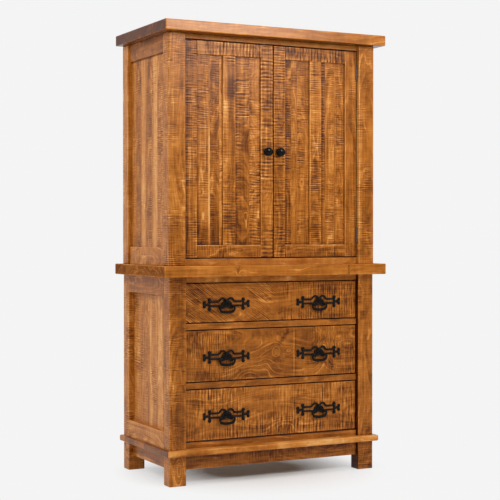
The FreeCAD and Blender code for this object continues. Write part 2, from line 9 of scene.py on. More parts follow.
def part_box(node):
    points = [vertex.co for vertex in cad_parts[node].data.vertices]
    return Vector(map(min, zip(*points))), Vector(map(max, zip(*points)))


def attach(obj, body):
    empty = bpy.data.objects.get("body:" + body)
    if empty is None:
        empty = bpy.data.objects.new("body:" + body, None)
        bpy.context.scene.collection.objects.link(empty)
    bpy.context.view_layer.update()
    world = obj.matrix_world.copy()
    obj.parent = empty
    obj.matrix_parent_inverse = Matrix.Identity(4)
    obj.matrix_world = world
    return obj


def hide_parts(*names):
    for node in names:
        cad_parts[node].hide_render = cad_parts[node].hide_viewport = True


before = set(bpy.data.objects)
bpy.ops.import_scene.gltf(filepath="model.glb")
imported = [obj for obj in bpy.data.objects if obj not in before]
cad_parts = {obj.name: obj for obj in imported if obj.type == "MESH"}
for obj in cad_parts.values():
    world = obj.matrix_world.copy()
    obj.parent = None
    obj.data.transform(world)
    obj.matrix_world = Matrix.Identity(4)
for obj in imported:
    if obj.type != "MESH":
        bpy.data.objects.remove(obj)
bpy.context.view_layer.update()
scene = bpy.context.scene


# ---------------------------------------------------------------- view
# The armoire is seen with a long lens at about knob height, from the left of its front.
focal_length = 93.82
sensor = 36.0
camera_place = (-2.6356, -5.1483, 1.048)
camera_dip = math.radians(0.74)
camera_turn = math.radians(-27.09)

camera_data = bpy.data.cameras.new("camera")
camera_data.lens = focal_length
camera_data.sensor_width = sensor
camera = bpy.data.objects.new("camera", camera_data)
camera.location = camera_place
camera.rotation_euler = (math.pi / 2 - camera_dip, 0, camera_turn)
scene.collection.objects.link(camera)
scene.camera = camera
scene.view_settings.view_transform = "Standard"


# ---------------------------------------------------------------- studio
# A pale seamless floor and a white room, with two large soft lamps in front.
# The floor is real near the armoire, where it takes the shadow, and plain white further out.
def node(tree, kind, inputs=None, **settings):
    """A shader node with its settings, and each input set or linked."""
    made = tree.nodes.new("ShaderNode" + kind)
    for key, value in settings.items():
        setattr(made, key, value)
    for key, value in (inputs or {}).items():
        if isinstance(value, bpy.types.NodeSocket):
            tree.links.new(value, made.inputs[key])
        else:
            made.inputs[key].default_value = value
    return made


def maths(tree, operation, *values):
    return node(tree, "Math", dict(enumerate(values)), operation=operation).outputs[0]


def between(tree, value, low, high, top=1.0, bottom=0.0):
    """bottom where value is at low, going to top at high."""
    return node(tree, "MapRange", {"Value": value, "From Min": low, "From Max": high,
                                   "To Min": bottom, "To Max": top}).outputs[0]


def blank_material(name):
    """A material with nothing in its tree."""
    made = bpy.data.materials.new(name)
    made.use_nodes = True
    made.node_tree.nodes.clear()
    return made, made.node_tree


def surface(tree, shader):
    """The shader is what the surface shows."""
    node(tree, "OutputMaterial", {"Surface": shader.outputs[0]})


def make_object(name, mesh):
    made = bpy.data.objects.new(name, mesh)
    scene.collection.objects.link(made)
    return made


backdrop_white = (0.905, 0.905, 0.905, 1)
floor_half = 14.0
floor_real = 0.2
floor_fade = 0.62

floor_mesh = bpy.data.meshes.new("studio_floor")
floor_mesh.from_pydata(
    [(-floor_half, -floor_half, 0), (floor_half, -floor_half, 0),
     (floor_half, floor_half, 0), (-floor_half, floor_half, 0)], [], [(0, 1, 2, 3)])
floor = make_object("studio_floor", floor_mesh)

floor_paint, tree = blank_material("studio_floor")
painted = node(tree, "BsdfPrincipled", {"Base Color": (0.9, 0.9, 0.895, 1), "Roughness": 0.55,
                                        "Specular IOR Level": 0.3})
glow = node(tree, "Emission", {"Color": backdrop_white, "Strength": 1.0})
place = node(tree, "NewGeometry").outputs["Position"]
distance = node(tree, "VectorMath", {0: place}, operation="LENGTH").outputs["Value"]
ray = node(tree, "LightPath").outputs
seen = maths(tree, "MAXIMUM", ray["Is Camera Ray"], ray["Is Glossy Ray"])
seen = maths(tree, "MAXIMUM", seen, ray["Is Transmission Ray"])
share = maths(tree, "MULTIPLY", between(tree, distance, floor_real, floor_fade), seen)
surface(tree, node(tree, "MixShader", {0: share, 1: painted.outputs[0], 2: glow.outputs[0]}))
floor_mesh.materials.append(floor_paint)

world = bpy.data.worlds.new("studio")
world.use_nodes = True
scene.world = world
tree = world.node_tree
tree.nodes.clear()
room_behind = 0.9
room_in_front = 0.16
room_above = 0.75
way = node(tree, "SeparateXYZ", {0: node(tree, "TexCoord").outputs["Generated"]})
depth = between(tree, way.outputs["Y"], -0.5, 0.5, room_behind, room_in_front)
rise = between(tree, way.outputs["Z"], 0.1, 0.8, room_above)
room = node(tree, "Background", {"Color": (1, 1, 1, 1), "Strength": maths(tree, "MAXIMUM", depth, rise)})
white = node(tree, "Background", {"Color": backdrop_white, "Strength": 1.0})
seen = node(tree, "LightPath").outputs["Is Camera Ray"]
mixed = node(tree, "MixShader", {0: seen, 1: room.outputs[0], 2: white.outputs[0]})
node(tree, "OutputWorld", {"Surface": mixed.outputs[0]})


def soft_lamp(name, place, aim, width, height, power):
    data = bpy.data.lights.new(name, "AREA")
    data.shape = "RECTANGLE"
    data.size = width
    data.size_y = height
    data.energy = power
    lamp = bpy.data.objects.new(name, data)
    lamp.location = place
    lamp.rotation_euler = (Vector(aim) - Vector(place)).to_track_quat("-Z", "Y").to_euler()
    scene.collection.objects.link(lamp)


lamp_aim = (0, -0.2, 1.1)
soft_lamp("front_lamp", (0.85, -2.8, 2.6), lamp_aim, 1.3, 1.1, 56)
soft_lamp("right_lamp", (2.9, -2.4, 2.2), lamp_aim, 0.7, 1.2, 8)
soft_lamp("left_lamp", (-2.9, -1.0, 3.1), (-0.4, 0, 1.0), 1.6, 1.4, 44)


# ---------------------------------------------------------------- top slab
# A thick top glued up from wide maple boards, planed and stained, with every edge eased.
# It lies on the posts of the upper case.
def waver(u, v, seed):
    """Smooth random heights from 0 to 1 over a plane, one bump a unit, alike on every run."""
    i, j = np.floor(u).astype(np.int64), np.floor(v).astype(np.int64)
    s, t = u - i, v - j
    s, t = s * s * (3 - 2 * s), t * t * (3 - 2 * t)

    def corner(a, b):
        h = (a * 374761393 + b * 668265263 + seed * 974634777) & 0x7FFFFFFF
        h = ((h ^ (h >> 13)) * 1274126177) & 0x7FFFFFFF
        return ((h ^ (h >> 16)) & 0xFFFF) / 65535

    low = corner(i, j) * (1 - s) + corner(i + 1, j) * s
    high = corner(i, j + 1) * (1 - s) + corner(i + 1, j + 1) * s
    return low * (1 - t) + high * t


def places_along(lo, hi, edge_r, step, joints):
    """Places across one way of a board: close in its rounded edges and at each glue joint."""
    arris = (0, 0.3 * edge_r, edge_r, edge_r + 0.0012, edge_r + 0.003)
    arris = [a for a in arris if a < (hi - lo) / 2]
    spots = [lo + a for a in arris] + [hi - a for a in arris]
    inset = arris[-1]
    count = max(1, round((hi - lo - 2 * inset) / step))
    even = np.linspace(lo + inset, hi - inset, count + 1)[1:-1]
    line = 0.0004
    spots += [x for x in even if all(abs(x - j) > step * 0.4 for j in joints)]
    spots += [j + side * line for j in joints for side in (-1, 1)]
    return np.array(sorted(spots))


def rounded_board(lo, hi, edge_r, steps, joints):
    """Corner places, outward normals and quads of a board with every edge rounded.
    joints is (axis, places): rows of points stand close on both sides of each."""
    rows = [places_along(lo[a], hi[a], edge_r, steps[a], joints[1] if a == joints[0] else ())
            for a in range(3)]
    size = tuple(len(r) for r in rows)
    grid = np.stack(np.meshgrid(*rows, indexing="ij"), -1)
    shell = np.zeros(size, bool)
    for a in range(3):
        at = [slice(None)] * 3
        for end in (0, -1):
            at[a] = end
            shell[tuple(at)] = True
    ids = np.full(size, -1)
    ids[shell] = np.arange(shell.sum())
    points = grid[shell]
    core = np.clip(points, np.array(lo) + edge_r, np.array(hi) - edge_r)
    out = points - core
    normals = out / np.linalg.norm(out, axis=1)[:, None]
    quads = []
    for a in range(3):
        for end in (0, -1):
            at = [slice(None)] * 3
            at[a] = end
            sheet = ids[tuple(at)]
            ring = [sheet[:-1, :-1], sheet[1:, :-1], sheet[1:, 1:], sheet[:-1, 1:]]
            if (end == 0) != (a == 1):
                ring.reverse()
            quads.append(np.stack(ring, -1).reshape(-1, 4))
    return core + normals * edge_r, normals, np.concatenate(quads)


def edge_nearness(points, lo, hi, reach):
    """1 on a board's arrises, falling to 0 away from them."""
    gap = np.minimum(points - np.array(lo), np.array(hi) - points)
    return np.exp(-np.sort(gap, axis=1)[:, 1] / reach)


def saw_marks(u, v, seed, pitch, tilt, wave, cover):
    """The number of saw strokes so far, how deep each bit from 0 to 1, and how rough the face
    is there."""
    line = u + tilt * v + wave * (waver(u / 0.03, v / 0.02, seed) - 0.5)
    count = line / pitch
    count = count + 0.9 * (waver(count * 0.4, v / 0.3, seed + 2) - 0.5)
    depth = waver(count * 0.6, v / 0.09, seed + 3)
    swing = 0.5 + 0.5 * np.cos(2 * math.pi * count)
    stroke = np.clip(swing * (0.3 + 1.2 * depth) - 0.25, 0, 1)
    patch = (0.45 * waver(u / 0.13, v / 0.06, seed + 4) + 0.35 * waver(u / 0.05, v / 0.2, seed + 5)
             + 0.2 * waver(u / 0.022, v / 0.03, seed + 6))
    rough = np.clip((patch - 0.62 + 0.5 * cover) * 2.4 + 0.4, 0.2, 1)
    return count, stroke, rough


def write_points(mesh, name, columns):
    """Three numbers at each point, or one, for the finish to read."""
    kind, part = ("FLOAT_VECTOR", "vector") if len(columns) == 3 else ("FLOAT", "value")
    made = mesh.attributes.new(name, kind, "POINT")
    made.data.foreach_set(part, np.stack(columns, -1).astype(np.float32).ravel())


# how a face is cut: from stroke to stroke, their slant, how they waver, how rough the face is, and
# how deep the strokes bite
ROUGH = {"pitch": 0.0095, "tilt": 0.0, "wave": 0.001, "cover": 0.4, "bite": 0.0007}
PLANED = {"pitch": 0.0085, "tilt": 0.0, "wave": 0.002, "cover": 0.0, "bite": 0.0}


def lay_board(name, lo, hi, grain, wide, seed, cut, edge_r=0.0015, joints=(), tone=0.0, spread=0.06,
              tones=(), marks=(), knots=(), gap_shade=(), across_step=0.008, turn_at=None):
    """The mesh of one board, or of several glued edge to edge at joints, with the tones given or
    drawn within spread. grain is the axis that the grain follows, wide the axis across the face.
    marks are (along, across, reach along, reach across, rougher, lighter, and figured if any)
    spots, some of them painted light or shade, knots are (along, across, size), and gap_shade are
    the (axis, end, and how dark if not 0.5) sides that face a dark gap or lie under a slab, darkened
    as painted shade. Past turn_at the saw's lines stand square again."""
    thick = 3 - grain - wide
    sawn = cut["bite"] > 0
    sawn_step, planed_step, thick_step = 0.0028, 0.006, 0.008
    steps = [0, 0, 0]
    steps[grain] = sawn_step if sawn else planed_step
    steps[wide] = across_step
    steps[thick] = thick_step
    points, normals, quads = rounded_board(lo, hi, edge_r, steps, (wide, joints))
    u, a, b = points[:, grain], points[:, wide], points[:, thick]
    across = a + b - lo[wide] - lo[thick]
    which = np.searchsorted(np.array(joints), a) if len(joints) else np.zeros(len(a), int)
    ends = [lo[wide], *joints, hi[wide]]
    count, stroke, rough = np.zeros((3, len(u)))
    ring, shade = np.zeros((2, len(u)))
    for k in range(len(ends) - 1):
        at = which == k
        draw = np.random.default_rng(1000 * seed + k)
        own = seed * 17 + k * 5
        middle = (ends[k] + ends[k + 1]) / 2
        width = ends[k + 1] - ends[k]
        tilt = cut["tilt"] + draw.uniform(-0.03, 0.03)
        if turn_at is not None:
            tilt = np.where(u[at] < turn_at, tilt, 0.0)
        pitch = cut["pitch"] * draw.uniform(0.8, 1.3)
        cover = cut["cover"] + draw.uniform(-0.15, 0.15)
        count[at], stroke[at], rough[at] = saw_marks(
            u[at] + 0.37 * k, across[at], own, pitch, tilt, cut["wave"], cover)
        sway = 0.03 * (waver(u[at] / 0.35, u[at] * 0 + k, own + 7) - 0.5)
        pith_a = middle + draw.uniform(-0.5, 0.5) * width + sway
        pith_b = draw.uniform(0.02, 0.07) + draw.uniform(-0.06, 0.06) * u[at]
        pith_b += 0.05 * (waver(u[at] / 0.28, u[at] * 0 + k, own + 8) - 0.5)
        ring[at] = np.hypot(a[at] - pith_a, b[at] - lo[thick] + pith_b) + 0.31 * k
        shade[at] = tone + (tones[k] if tones else draw.uniform(-spread, spread))
    bite = rough ** 2 * 0.6
    figure = np.zeros(len(u))
    gap_shade_reach, edge_reach, level_step = 0.0014, 0.0025, 0.0002
    for u0, a0, reach_u, reach_a, rougher, lighter, *figured in marks:
        off_u, off_a = np.abs((u - u0) / reach_u), np.abs((a - a0) / reach_a)
        near = np.exp(-off_u ** 6 - off_a ** 6)
        rough = np.clip(rough + rougher * near, 0.05, 1)
        bite = np.clip(bite + rougher * near, 0.05, 1.3)
        shade = shade + lighter * near
        swell = np.exp(-off_u ** 2 - off_a ** 2)
        figure = figure + sum(figured) * swell ** 0.5
        ring = ring + 0.2 * sum(figured) * swell
    # painted shade: the sides that face a gap, or lie under a slab, are darkened
    for axis, end, *darker in gap_shade:
        depth = np.abs(points[:, axis] - (lo, hi)[end][axis])
        shade = shade - (darker[0] if darker else 0.5) * np.exp(-(depth / gap_shade_reach) ** 4)
    for u0, a0, size in knots:
        near = np.exp(-((u - u0) / (2.2 * size)) ** 2 - ((a - a0) / size) ** 2)
        ring = ring + 3.2 * size * near
        shade = shade - 0.3 * near ** 5
        figure = figure + 0.3 * near ** 0.4
    if turn_at is not None:
        rough = rough * np.clip(np.abs(u - turn_at) / 0.03, 0.1, 1)
    kerf = np.clip(stroke * bite, 0, 1) * sawn
    rough = rough * sawn
    level = np.random.default_rng(seed).uniform(0, level_step, len(ends))[which] * sawn
    points = points - normals * (kerf * cut["bite"] + level)[:, None]
    mesh = bpy.data.meshes.new(name)
    mesh.from_pydata(points.tolist(), [], quads.tolist())
    mesh.shade_smooth()
    offset = seed * 3.17
    write_points(mesh, "grain", [u + offset + 1.3 * which, across + offset, ring + offset])
    write_points(mesh, "saw", [count + 50 * which, kerf, rough])
    end_grain = np.clip(np.abs(normals[:, grain]) * 2 - 1, 0, 1)
    # this attribute holds edge nearness, the tone with its painted light and shade, and end grain
    write_points(mesh, "wear_and_shade", [edge_nearness(points, lo, hi, edge_reach), shade, end_grain])
    write_points(mesh, "figure", [figure])
    return mesh


def effect(name, **takes):
    """An empty shader group, and the named values that it takes."""
    group = bpy.data.node_groups.new(name, "ShaderNodeTree")
    for label, start in takes.items():
        kind = "NodeSocketVector" if isinstance(start, tuple) else "NodeSocketFloat"
        socket = group.interface.new_socket(name=label, in_out="INPUT", socket_type=kind)
        socket.default_value = start
    return group, group.nodes.new("NodeGroupInput").outputs


def give(group, **values):
    """The named values that the group puts out."""
    for label in values:
        group.interface.new_socket(name=label, in_out="OUTPUT", socket_type="NodeSocketFloat")
    leave = group.nodes.new("NodeGroupOutput").inputs
    for label, value in values.items():
        group.links.new(value, leave[label])


def split(tree, place):
    return node(tree, "SeparateXYZ", {0: place}).outputs


def joined(tree, *parts):
    return node(tree, "CombineXYZ", dict(enumerate(parts))).outputs[0]


def noise(tree, place, scale, detail, roughness):
    return node(tree, "TexNoise", {"Vector": place, "Scale": scale, "Detail": detail,
                                   "Roughness": roughness}).outputs["Fac"]


def drawn_out(tree, parts, by, detail=2.0, roughness=0.5):
    """Noise that is squeezed by a different amount along each part of a place."""
    place = joined(tree, *(maths(tree, "MULTIPLY", part, k) for part, k in zip(parts, by)))
    return noise(tree, place, 1.0, detail, roughness)


def off_middle(tree, value):
    """How far a value is from the middle of its unit, 0 to 0.5."""
    return maths(tree, "ABSOLUTE", maths(tree, "SUBTRACT", maths(tree, "FRACT", value), 0.5))


def summed(tree, start, *weighted):
    """start plus each (value, weight)."""
    total = start
    for value, weight in weighted:
        total = maths(tree, "MULTIPLY_ADD", value, weight, total)
    return total


# Wood fibre: streaks that follow the growth rings, long crisp bands, dark pores, a curl across the
# grain, and thin honey veins along the rings, which show most where the wood is figured.
fibre, entry = effect("fibre", Grain=(0, 0, 0), Figure=0.0)
lie = split(fibre, entry["Grain"])
streaks = [drawn_out(fibre, lie, by, 2.5, 0.6)
           for by in ((2.2, 4, 75), (4.5, 12, 200), (9, 30, 560))]
band = drawn_out(fibre, lie, (1.6, 110, 20), 2.5, 0.75)
sway = maths(fibre, "MULTIPLY", drawn_out(fibre, lie, (5, 16, 8)), 3.0)
ring = maths(fibre, "MULTIPLY_ADD", lie[2], 42.0, sway)
thin = between(fibre, off_middle(fibre, ring), 0.12, 0.05)
shown = maths(fibre, "ADD", drawn_out(fibre, lie, (4, 11, 9)), entry["Figure"])
give(fibre, Streak=summed(fibre, 0.0, *zip(streaks, (0.2, 0.5, 0.3))),
     Band=between(fibre, band, 0.42, 0.58), Pore=drawn_out(fibre, lie, (70, 300, 2400), 1.0),
     Curl=drawn_out(fibre, lie, (70, 14, 30)),
     Vein=maths(fibre, "MULTIPLY", thin, between(fibre, shown, 0.5, 0.62)))

# Saw lines: the blade left a groove at each stroke, with a honey ridge beside it, finer scores
# between them, and bands where it ran deeper. They are clear where the face is rough.
saw_lines, entry = effect("saw_lines", Saw=(0, 0, 0), Grain=(0, 0, 0))
saw = split(saw_lines, entry["Saw"])
lie = split(saw_lines, entry["Grain"])


def along_cut(per_stroke, per_metre, detail):
    """Noise drawn out across the board along the saw's lines."""
    return drawn_out(saw_lines, (saw[0], lie[1], lie[1]), (per_stroke, per_metre, 0), detail, 0.6)


swing = off_middle(saw_lines, saw[0])
deep = between(saw_lines, along_cut(0.6, 11, 1.0), 0.36, 0.62)
scores = along_cut(1.8, 22, 1.5)
bands = along_cut(0.22, 4, 1.0)


def cut_lines(at_stroke, at_score, at_band):
    """Strokes, scores and bands added up, each from nothing at one value to its weight at another."""
    total = maths(saw_lines, "MULTIPLY", between(saw_lines, swing, *at_stroke), deep)
    total = maths(saw_lines, "ADD", total, between(saw_lines, scores, *at_score))
    return maths(saw_lines, "ADD", total, between(saw_lines, bands, *at_band))


dark = cut_lines((0.24, 0.47, 0.8), (0.48, 0.68, 0.6), (0.5, 0.7, 0.25))
light = cut_lines((0.3, 0.02, 0.62), (0.52, 0.34, 0.6), (0.5, 0.3, 0.2))
fuzz = maths(saw_lines, "MULTIPLY", drawn_out(saw_lines, lie, (380, 380, 380), 2.0, 0.6), 0.5)
groove = maths(saw_lines, "MULTIPLY_ADD", dark, saw[2], maths(saw_lines, "MULTIPLY", saw[1], fuzz))
ridge = maths(saw_lines, "MULTIPLY", light, saw[2])
give(saw_lines, Groove=groove, Ridge=ridge, Height=maths(saw_lines, "SUBTRACT", ridge, groove))

# Blotches: maple takes a brown stain unevenly, in soft clouds and a few darker patches that end
# more sharply.
blotches, entry = effect("blotches", Grain=(0, 0, 0))
lie = split(blotches, entry["Grain"])
spot = drawn_out(blotches, lie, (9, 17, 12), 5.0, 0.6)
give(blotches, Cloud=drawn_out(blotches, lie, (9, 18, 5), 3.0, 0.55),
     Patch=between(blotches, spot, 0.56, 0.64))

# Edge wear and painted highlight: the arrises are rubbed lighter in places, which also paints in the
# highlight that they catch.
edge_wear_and_highlight, entry = effect("edge_wear_and_highlight", Edge=0.0, Grain=(0, 0, 0))
rub_and_lit = drawn_out(edge_wear_and_highlight, split(edge_wear_and_highlight, entry["Grain"]), (35, 60, 20), 2.0, 0.6)
rub_and_lit = between(edge_wear_and_highlight, rub_and_lit, 0.25, 0.6)
give(edge_wear_and_highlight, Rubbed=maths(edge_wear_and_highlight, "MULTIPLY", entry["Edge"], rub_and_lit))

BROWN_STAIN = [
    (0.0, (0.052, 0.010, 0.003)),
    (0.25, (0.170, 0.048, 0.004)),
    (0.5, (0.385, 0.122, 0.014)),
    (0.72, (0.590, 0.229, 0.044)),
    (1.0, (0.800, 0.450, 0.160)),
]


def colour_ramp(tree, value, stops):
    ramp = node(tree, "ValToRGB", {0: value})
    stop = ramp.color_ramp.elements
    while len(stop) < len(stops):
        stop.new(0.5)
    for made, (at, colour) in zip(stop, stops):
        made.position = at
        made.color = (*colour, 1)
    return ramp.outputs["Color"]


def stained_maple(name, start=0.53, streak=1.0, band=0.08, cloud=0.45, patch=0.09, sawn=0.36,
                  ridged=0.32, gloss=0.24, shine=0.16, places=None, stops=BROWN_STAIN):
    """Brown-stained maple with a satin lacquer. The weights say how much the streaks, bands, clouds,
    patches, saw grooves and ridges change the tone. places(tree) gives grain, saw and wear, where
    the mesh itself doesn't hold them."""
    made, tree = blank_material(name)

    def worked(group, **inputs):
        return node(tree, "Group", inputs, node_tree=group).outputs

    if places:
        grain, saw, wear_and_shade = places(tree)
    else:
        grain, saw, wear_and_shade = (node(tree, "Attribute", attribute_name=n).outputs["Vector"]
                            for n in ("grain", "saw", "wear_and_shade"))
    figure = node(tree, "Attribute", attribute_name="figure").outputs["Fac"]
    wood = worked(fibre, Grain=grain, Figure=figure)
    cuts = worked(saw_lines, Saw=saw, Grain=grain)
    stains = worked(blotches, Grain=grain)
    edge, shade, end_grain = split(tree, wear_and_shade)
    rub_and_lit = worked(edge_wear_and_highlight, Edge=edge, Grain=grain)["Rubbed"]
    # the weight of the lighter arrises is partly wear, partly painted highlight
    curl, pore, vein, rubbed_and_lit, end_dark = 0.2, 0.14, 0.19, 0.26, 0.36
    level = start - 0.5 * (streak + band + cloud + curl + pore)
    tone = summed(tree, level, (wood["Streak"], streak), (wood["Band"], band),
                  (stains["Cloud"], cloud), (wood["Curl"], curl), (wood["Pore"], pore),
                  (wood["Vein"], vein), (stains["Patch"], -patch), (cuts["Groove"], -sawn),
                  (cuts["Ridge"], ridged), (rub_and_lit, rubbed_and_lit), (shade, 1.0), (end_grain, -end_dark))
    colour = colour_ramp(tree, tone, stops)
    matt = summed(tree, gloss, (cuts["Groove"], 0.16), (wood["Streak"], 0.08), (end_grain, 0.2))
    height = summed(tree, 0.0, (cuts["Height"], 0.5), (wood["Pore"], 0.2), (wood["Streak"], 0.3))
    bump = node(tree, "Bump", {"Height": height, "Strength": 0.6, "Distance": 0.0005})
    surface(tree, node(tree, "BsdfPrincipled", {"Base Color": colour, "Roughness": matt,
                                                "Normal": bump.outputs[0],
                                                "Specular IOR Level": shine}))
    return made


def carve(mesh, shape):
    """The board less another piece's shape. The shape is copied with its points merged, so that
    it cuts as a closed solid."""
    name = mesh.name
    solid = bmesh.new()
    solid.from_mesh(shape.data)
    bmesh.ops.remove_doubles(solid, verts=solid.verts, dist=2e-6)
    closed = bpy.data.meshes.new("cutter")
    solid.to_mesh(closed)
    solid.free()
    cutter = make_object("cutter", closed)
    work = make_object("work", mesh)
    cut = work.modifiers.new("cut", "BOOLEAN")
    cut.object = cutter
    cut.solver = "EXACT"
    graph = bpy.context.evaluated_depsgraph_get()
    done = bpy.data.meshes.new_from_object(work.evaluated_get(graph), preserve_all_data_layers=True,
                                           depsgraph=graph)
    done.set_sharp_from_angle(angle=math.radians(40))
    for used in (cutter, work):
        bpy.data.objects.remove(used)
    for used in (closed, mesh):
        bpy.data.meshes.remove(used)
    done.name = name
    return done


def fit_piece(mesh, material, node_name, body="root"):
    """A finished piece in its place on a body, standing for the node it replaces."""
    made = make_object(mesh.name, mesh)
    mesh.materials.append(material)
    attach(made, body)
    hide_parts(node_name)


slab_edge = 0.004
planed_maple = stained_maple("planed_maple", start=0.55, streak=0.7, cloud=0.35, patch=0.04,
                             gloss=0.22, shine=0.26)
lo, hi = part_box("top_slab")
# painted shade on the slab's underside, and its right half painted darker where the sheen fades
mesh = lay_board("top_slab_boards", lo, hi, 0, 1, 3, PLANED, slab_edge, joints=(-0.16, -0.02, 0.13),
                 tone=0.02, gap_shade=((2, 0, 0.34),),
                 marks=((lo.x, 0, 0.003, 1.0, 0, -0.16), (hi.x, 0, 0.003, 1.0, 0, -0.16),
                        (0.35, 0, 0.3, 1.0, 0, -0.09)))
fit_piece(mesh, planed_maple, "top_slab")


# ---------------------------------------------------------------- waist slab
# The same kind of slab between the two cases, a little wider and thicker than the top, and
# more matt.
waist_maple = stained_maple("waist_maple", start=0.55, streak=0.75, cloud=0.4, patch=0.04,
                            gloss=0.45, shine=0.08)
lo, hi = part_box("waist_slab")
# the ends are painted lighter, a painted sheen on the end grain
mesh = lay_board("waist_slab_boards", lo, hi, 0, 1, 8, PLANED, slab_edge, joints=(-0.13, 0.01, 0.15),
                 tone=-0.1, knots=((-0.2, lo.y, 0.004), (0.34, lo.y, 0.003)),
                 marks=((lo.x, 0, 0.003, 1.0, 0, 0.22), (hi.x, 0, 0.003, 1.0, 0, 0.22)))
fit_piece(mesh, waist_maple, "waist_slab")


# ---------------------------------------------------------------- posts
# Eight square posts of rough-sawn maple, arrises eased by hand. The lower four run down to the
# floor as the feet, and every rail and panel enters them.
post_w = 0.076
post_edge = 0.003
post_pitch = 0.006
upper_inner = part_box("upper_front_posts")[1].x - post_w
pins_lo, pins_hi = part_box("shelf_pins")
pin_r = 0.0025
pin_bore_depth = 0.0105
pin_pitch = 0.032
pin_rows = (-2, -1, 0, 1, 2)


def pin_bores(y):
    """Round plugs that cut the shelf pins' holes in both inner faces."""
    bores = bmesh.new()
    for side in (-1, 1):
        for row in pin_rows:
            place = Vector((side * upper_inner, y, (pins_lo.z + pins_hi.z) / 2 + row * pin_pitch))
            place = Matrix.Translation(place) @ Matrix.Rotation(math.pi / 2, 4, "Y")
            bmesh.ops.create_cone(bores, cap_ends=True, segments=20, radius1=pin_r, radius2=pin_r,
                                  depth=2 * pin_bore_depth, matrix=place)
    mesh = bpy.data.meshes.new("pin_bores")
    bores.to_mesh(mesh)
    bores.free()
    return make_object("pin_bores", mesh)


sawn_maple = stained_maple("sawn_maple")
post_bores = {"upper_front_posts": pin_bores(pins_lo.y + pin_r),
              "upper_back_posts": pin_bores(pins_hi.y - pin_r)}
# how light each pair of posts is, and how rough
post_finish = {"upper_front_posts": (0.06, 0.35), "upper_back_posts": (0.02, 0.2),
               "lower_front_posts": (-0.01, 0.0), "lower_back_posts": (0.02, 0.1)}
post_marks = {
    "upper_front_post_left": (
        (1.79, -0.435, 0.07, 0.02, 0.2, -0.06), (1.5, -0.458, 0.4, 0.05, 0, -0.02),
        (0.99, -0.458, 0.12, 0.06, 0, -0.1),
    ),
    "upper_front_post_right": (
        (1.79, 0.45, 0.08, 0.05, 0.2, -0.12), (0.96, 0.45, 0.03, 0.04, 0, -0.1),
        # the thin light line at 0.42 is painted light on the post's inner face and arris beside the door
        (1.3, 0.458, 0.45, 0.034, 0, -0.1), (1.4, 0.42, 1.0, 0.002, 0, 0.16),
        (1.4, 0.462, 1.0, 0.036, -0.12, -0.05),
    ),
    "lower_front_post_left": (
        (0.45, -0.455, 1.0, 0.034, 0, -0.1), (0.79, -0.45, 0.06, 0.034, 0, -0.05),
        (0.045, -0.46, 0.045, 0.03, 0, 0.13), (0.07, -0.449, 0.05, 0.014, 0, -0.04, 0.3),
        (0.45, -0.493, 1.0, 0.003, 0, 0.05),
    ),
    "lower_front_post_right": (
        (0.45, 0.455, 1.0, 0.034, 0, -0.05), (0.685, 0.44, 0.02, 0.014, 0.3, -0.26),
        (0.15, 0.45, 0.05, 0.05, 0, -0.1), (0.05, 0.45, 0.045, 0.05, 0.55, -0.13),
    ),
}
post_seed = 20
for node_name, (tone, roughness) in post_finish.items():
    lo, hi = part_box(node_name)
    for side, x0, x1 in (("left", lo.x, lo.x + post_w), ("right", hi.x - post_w, hi.x)):
        name = f"{node_name[:-1]}_{side}"
        inner_end = 1 if side == "left" else 0
        # the lower posts' inner faces, beside the drawers, are darkened as painted shade
        mesh = lay_board(name, (x0, lo.y, lo.z), (x1, hi.y, hi.z), 2, 0, post_seed,
                         {**ROUGH, "cover": roughness, "pitch": post_pitch}, post_edge, tone=tone,
                         marks=post_marks.get(name, ()),
                         gap_shade=((0, inner_end),) if node_name.startswith("lower") else ())
        if node_name in post_bores:
            mesh = carve(mesh, post_bores[node_name])
        fit_piece(mesh, sawn_maple, node_name)
        post_seed += 1
for plug in post_bores.values():
    bpy.data.objects.remove(plug)


# ---------------------------------------------------------------- side frames
# Between each pair of posts stand a top rail, a bottom rail and a panel of narrow boards,
# which sits in grooves. The upper rails are set back from the posts' faces, and the lower ones
# lie flush with them.
side_panel_t = 0.010
in_groove = 0.002


def pair(lo, hi):
    """A left-hand board's corners, and the same on the right."""
    return (("left", lo, hi), ("right", (-hi[0], lo[1], lo[2]), (-lo[0], hi[1], hi[2])))


def between_posts(case):
    """Where a case's sides lie, from its front posts' backs to its back posts' fronts."""
    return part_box(f"{case}_front_posts")[1].y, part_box(f"{case}_back_posts")[0].y


# how thick the rails are, and how high the bottom and the top one
side_frames = {"upper": (0.022, 0.075, 0.075), "lower": (0.038, 0.097, 0.078)}
side_maple = stained_maple("side_maple", start=0.515, cloud=0.4, patch=0.05, sawn=0.38,
                           gloss=0.42, shine=0.3)
# the upper top rails are darker as painted shade under the top slab's overhang
side_tones = {"upper_bottom": 0.03, "upper_top": -0.1, "lower_bottom": 0.03, "lower_top": -0.03}
side_joints = {"upper": (-0.125, -0.065, -0.011, 0.05, 0.11, 0.165),
               "lower": (-0.135, -0.099, -0.044, 0.03, 0.056, 0.14)}
